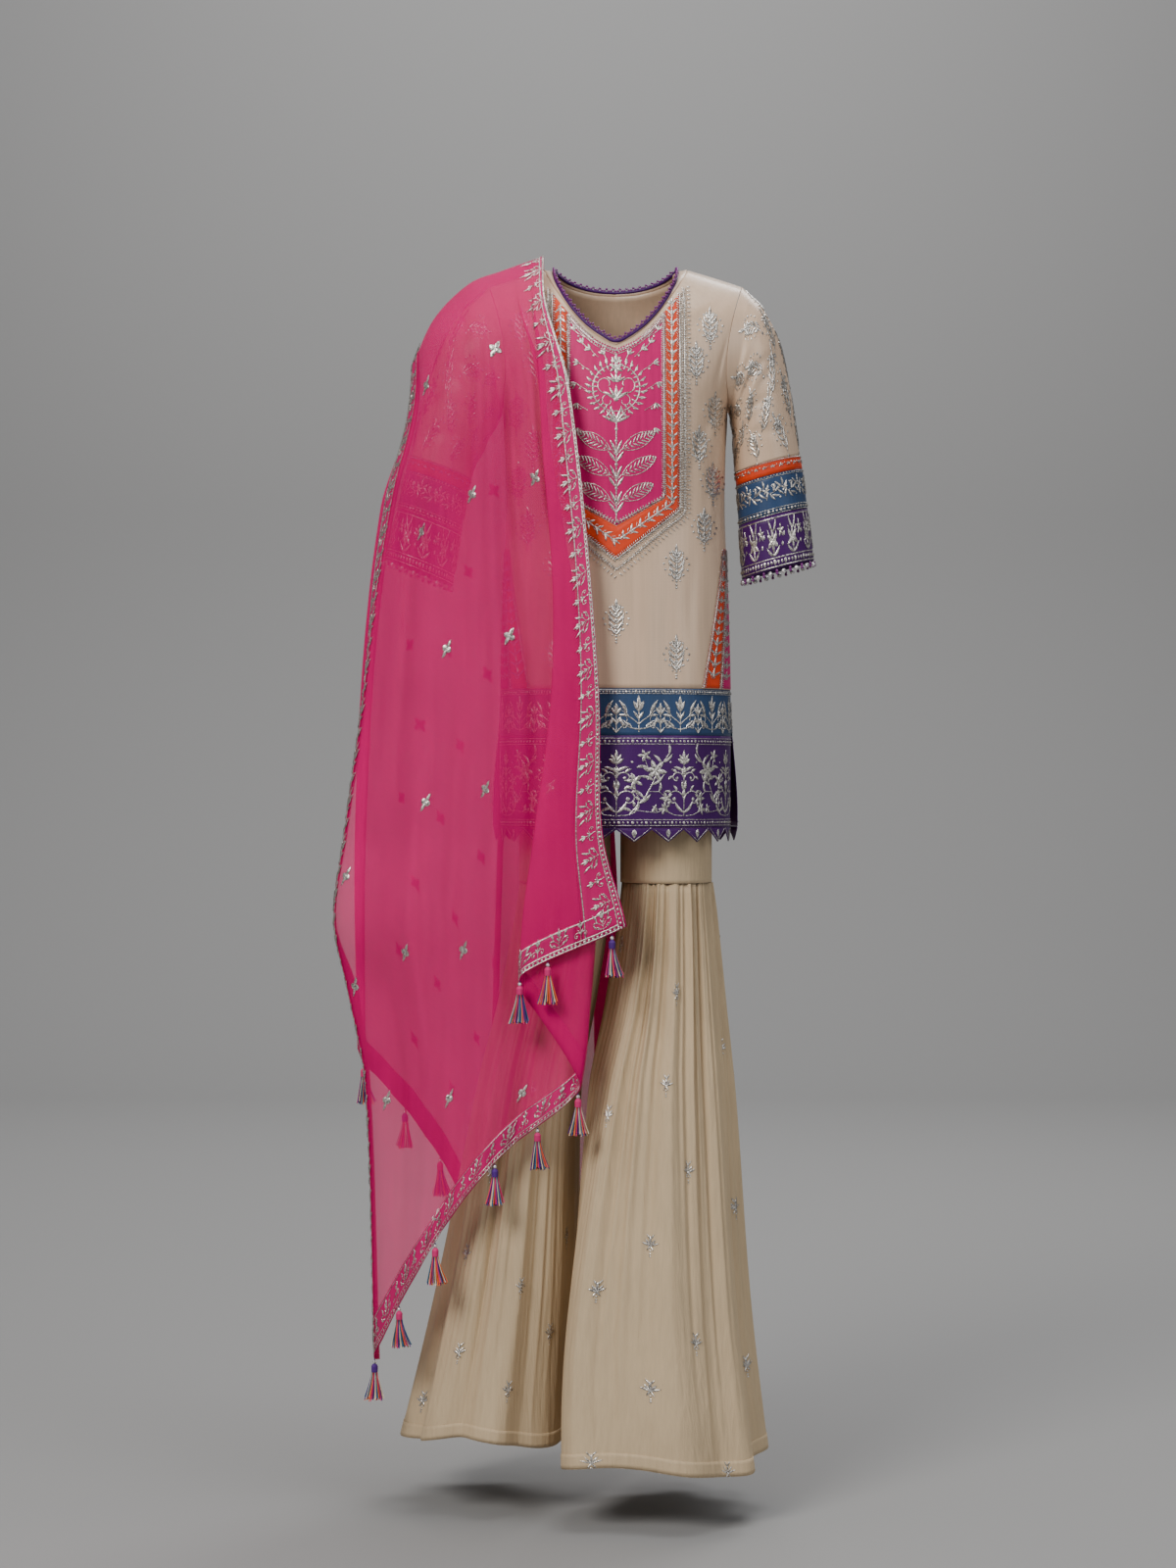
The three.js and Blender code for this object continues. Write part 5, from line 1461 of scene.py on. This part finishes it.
# Each strip's axis, the places across it of its rails, stitches and sequins, and the stitches' turn
STRIP_WORK = {"inner": ("v", (0.053, 0.003, 0.011), 0.014, 0.007, -90),
              "outer": ("v", (0.943, 0.997, 0.989), 0.986, 0.993, 90),
              "front": ("u", (-0.9675, -0.998, -0.992), -0.99, -0.9955, 0),
              "back": ("u", (0.9675, 0.998, 0.992), 0.99, 0.9955, 0)}
for name, (axis, rails, _, _, _) in STRIP_WORK.items():
    rail(f"rail_{name}", axis, rails, RUNS[axis][0], RUNS[axis][3])
for name, (axis, _, middle, _, turn) in STRIP_WORK.items():
    lay_on_sheet(f"strip_{name}_stitches", strip_items(axis, RUNS[axis][1], middle, turn), RAIL_LIFT)
for name, (axis, _, _, edge, _) in STRIP_WORK.items():
    sequins(f"sequins_{name}", axis, edge, RUNS[axis][2], 5.5, 1.5)

# Tassels: a loop, a pearl, a wound head and a skirt of thin strands in five colours
THREADS = [cloth(f"thread_{name}", colour, roughness=0.6, sheen=0.1, shade=0.15) for name, colour in (
    ("violet", (0.07, 0.012, 0.19)), ("rose", (0.62, 0.02, 0.16)), ("orange", (0.75, 0.14, 0.03)),
    ("teal", (0.02, 0.12, 0.22)), ("cream", (0.66, 0.56, 0.40)))]
TASSELS = [("front", 0.02, 5), ("front", 0.1, 5), ("front", 0.145, 9), ("front", 0.31, 0), ("front", 0.4, 0),
           ("front", 0.5, 0), ("front", 0.66, 0), ("front", 0.8, 0), ("front", 0.955, 0), ("back", 0.02, 3),
           ("back", 0.2, 0), ("back", 0.38, 0), ("back", 0.56, 0), ("back", 0.74, 0), ("back", 0.95, 0)]
STRANDS, STRAND_STEPS = 70, 5
TASSEL_LOOP, TASSEL_HEAD, TASSEL_FOOT, HEAD_R = 6, 16, 52, 4.0


def tassel(number, side, u, forward):
    rng = np.random.default_rng(number)
    top = drape_point(side, u, 1, False)
    top = top + [0, (-1 if side == "front" else 1) * forward, -1.2]
    points, faces, owners = [], [], []

    def lathe(outline, owner, sides=12):
        base = len(points)
        for radius, z in outline:
            for k in range(sides):
                a = 2 * math.pi * k / sides
                points.append(top + [radius * math.cos(a), radius * math.sin(a), z])
        rows = grid_faces(len(outline), sides, True, base)
        last = base + (len(outline) - 1) * sides
        caps = [tuple(range(base, base + sides)), tuple(range(last, last + sides))[::-1]]
        faces.extend(rows + caps)
        owners.extend([owner] * (len(rows) + 2))

    lathe([(0.7, 0), (0.7, -TASSEL_LOOP)], 0)
    head = [(0.8, -TASSEL_LOOP + 0.6), (2.9, -TASSEL_LOOP - 0.8), (4.0, -TASSEL_LOOP - 3)]
    for k in range(5):
        z = -TASSEL_LOOP - 3.4 - k * 1.35
        head += [(4.15, z), (3.75, z - 0.65)]
    head.append((HEAD_R - 0.4, -TASSEL_HEAD))
    lathe(head, int(rng.integers(0, 2)))
    lean = rng.uniform(-3, 3)
    for n in range(STRANDS):
        ring, a = math.sqrt((n + 0.5) / STRANDS), n * 2.399963 + rng.uniform(-0.1, 0.1)
        reach = 12.5 * ring * rng.uniform(0.85, 1.08)
        length = (TASSEL_FOOT - TASSEL_HEAD) * rng.uniform(0.86, 0.99)
        bend = rng.uniform(0.6, 1.0)
        base = len(points)
        for k in range(STRAND_STEPS + 1):
            t = k / STRAND_STEPS
            spread = mix(3.2 * ring, reach, t**1.3 * bend + (1 - bend) * t)
            middle = [spread * math.cos(a) + lean * t * t, spread * math.sin(a) * 0.62,
                      -TASSEL_HEAD + 1 - length * t]
            for q in range(4):
                b = math.pi / 2 * q + a
                points.append(top + middle + [0.62 * math.cos(b), 0.62 * math.sin(b), 0])
        rows = grid_faces(STRAND_STEPS + 1, 4, True, base)
        last = base + STRAND_STEPS * 4
        faces.extend(rows + [(base, base + 1, base + 2, base + 3), (last + 3, last + 2, last + 1, last)])
        owner = int((n * 5 // 11 + number) % 5)
        owners.extend([owner] * (len(rows) + 2))
    name = f"tassel_{number:02d}"
    obj = piece(f"{name}_threads", points, faces, THREADS, "tassel_thread", [name])
    obj.data.polygons.foreach_set("material_index", owners)
    bead = beads(f"{name}_pearl", [top + [0, 0, -TASSEL_LOOP + 2.2]], [2.4], PEARL, "silver_lace")
    return [obj, bead]


hung_pieces = []
for k, (side, u, forward) in enumerate(TASSELS):
    hung_pieces += tassel(k + 1, side, u, forward)

width, length, area = cut_of(dupatta.points)


# Camera, lights and stage
scene = bpy.context.scene
camera = bpy.data.objects.new("camera", bpy.data.cameras.new("camera"))
scene.collection.objects.link(camera)
camera.location, camera.rotation_euler = (-0.0336, -4.0, -0.63), (math.pi / 2, 0, 0)
camera.data.sensor_width, camera.data.lens, camera.data.sensor_fit = 36, 75, "AUTO"
scene.camera = camera


def area_light(name, place, target, size, power, colour=(1, 1, 1)):
    light = bpy.data.lights.new(name, "AREA")
    light.shape, light.size, light.energy, light.color = "DISK", size, power, colour
    obj = bpy.data.objects.new(name, light)
    scene.collection.objects.link(obj)
    obj.location = place
    obj.rotation_euler = (Vector(target) - Vector(place)).to_track_quat("-Z", "Y").to_euler()


for light in (("key", (-1.9, -3.0, 1.5), (0, 0, -0.4), 1.7, 134, (1.0, 0.975, 0.94)),
              ("fill", (2.6, -2.6, 0.9), (0, 0, -0.5), 2.2, 34, (0.96, 0.98, 1.0)),
              ("top", (0.2, -0.4, 2.2), (0, 0, -0.4), 1.6, 38),
              ("back", (1.4, 2.6, 2.4), (0, 0, -0.5), 1.6, 55),
              ("wall", (0, 3.6, 3.6), (0, 7.0, -0.4), 3.0, 190)):
    area_light(*light)

world = bpy.data.worlds.new("world")
scene.world = world
world.use_nodes = True
world.node_tree.nodes["Background"].inputs["Color"].default_value = (0.86, 0.87, 0.9, 1)
world.node_tree.nodes["Background"].inputs["Strength"].default_value = 0.3

FLOOR_Z, WALL_Y, SWEEP = -1515, 7000, 1800
profile = [(-7000, FLOOR_Z), (WALL_Y - SWEEP, FLOOR_Z)]
profile += [(WALL_Y - SWEEP + SWEEP * math.sin(a), FLOOR_Z + SWEEP - SWEEP * math.cos(a))
            for a in np.linspace(0, math.pi / 2, 20)[1:]]
profile += [(WALL_Y, 6000)]
sweep_points = [(x, y, z) for y, z in profile for x in (-9000, 9000)]
BACKDROP, _, backdrop_bsdf = new_material("backdrop")
backdrop_bsdf.inputs["Base Color"].default_value = (0.285, 0.282, 0.280, 1)
backdrop_bsdf.inputs["Roughness"].default_value = 0.8
floor = mesh_object("floor", sweep_points, grid_faces(len(profile), 2), BACKDROP)
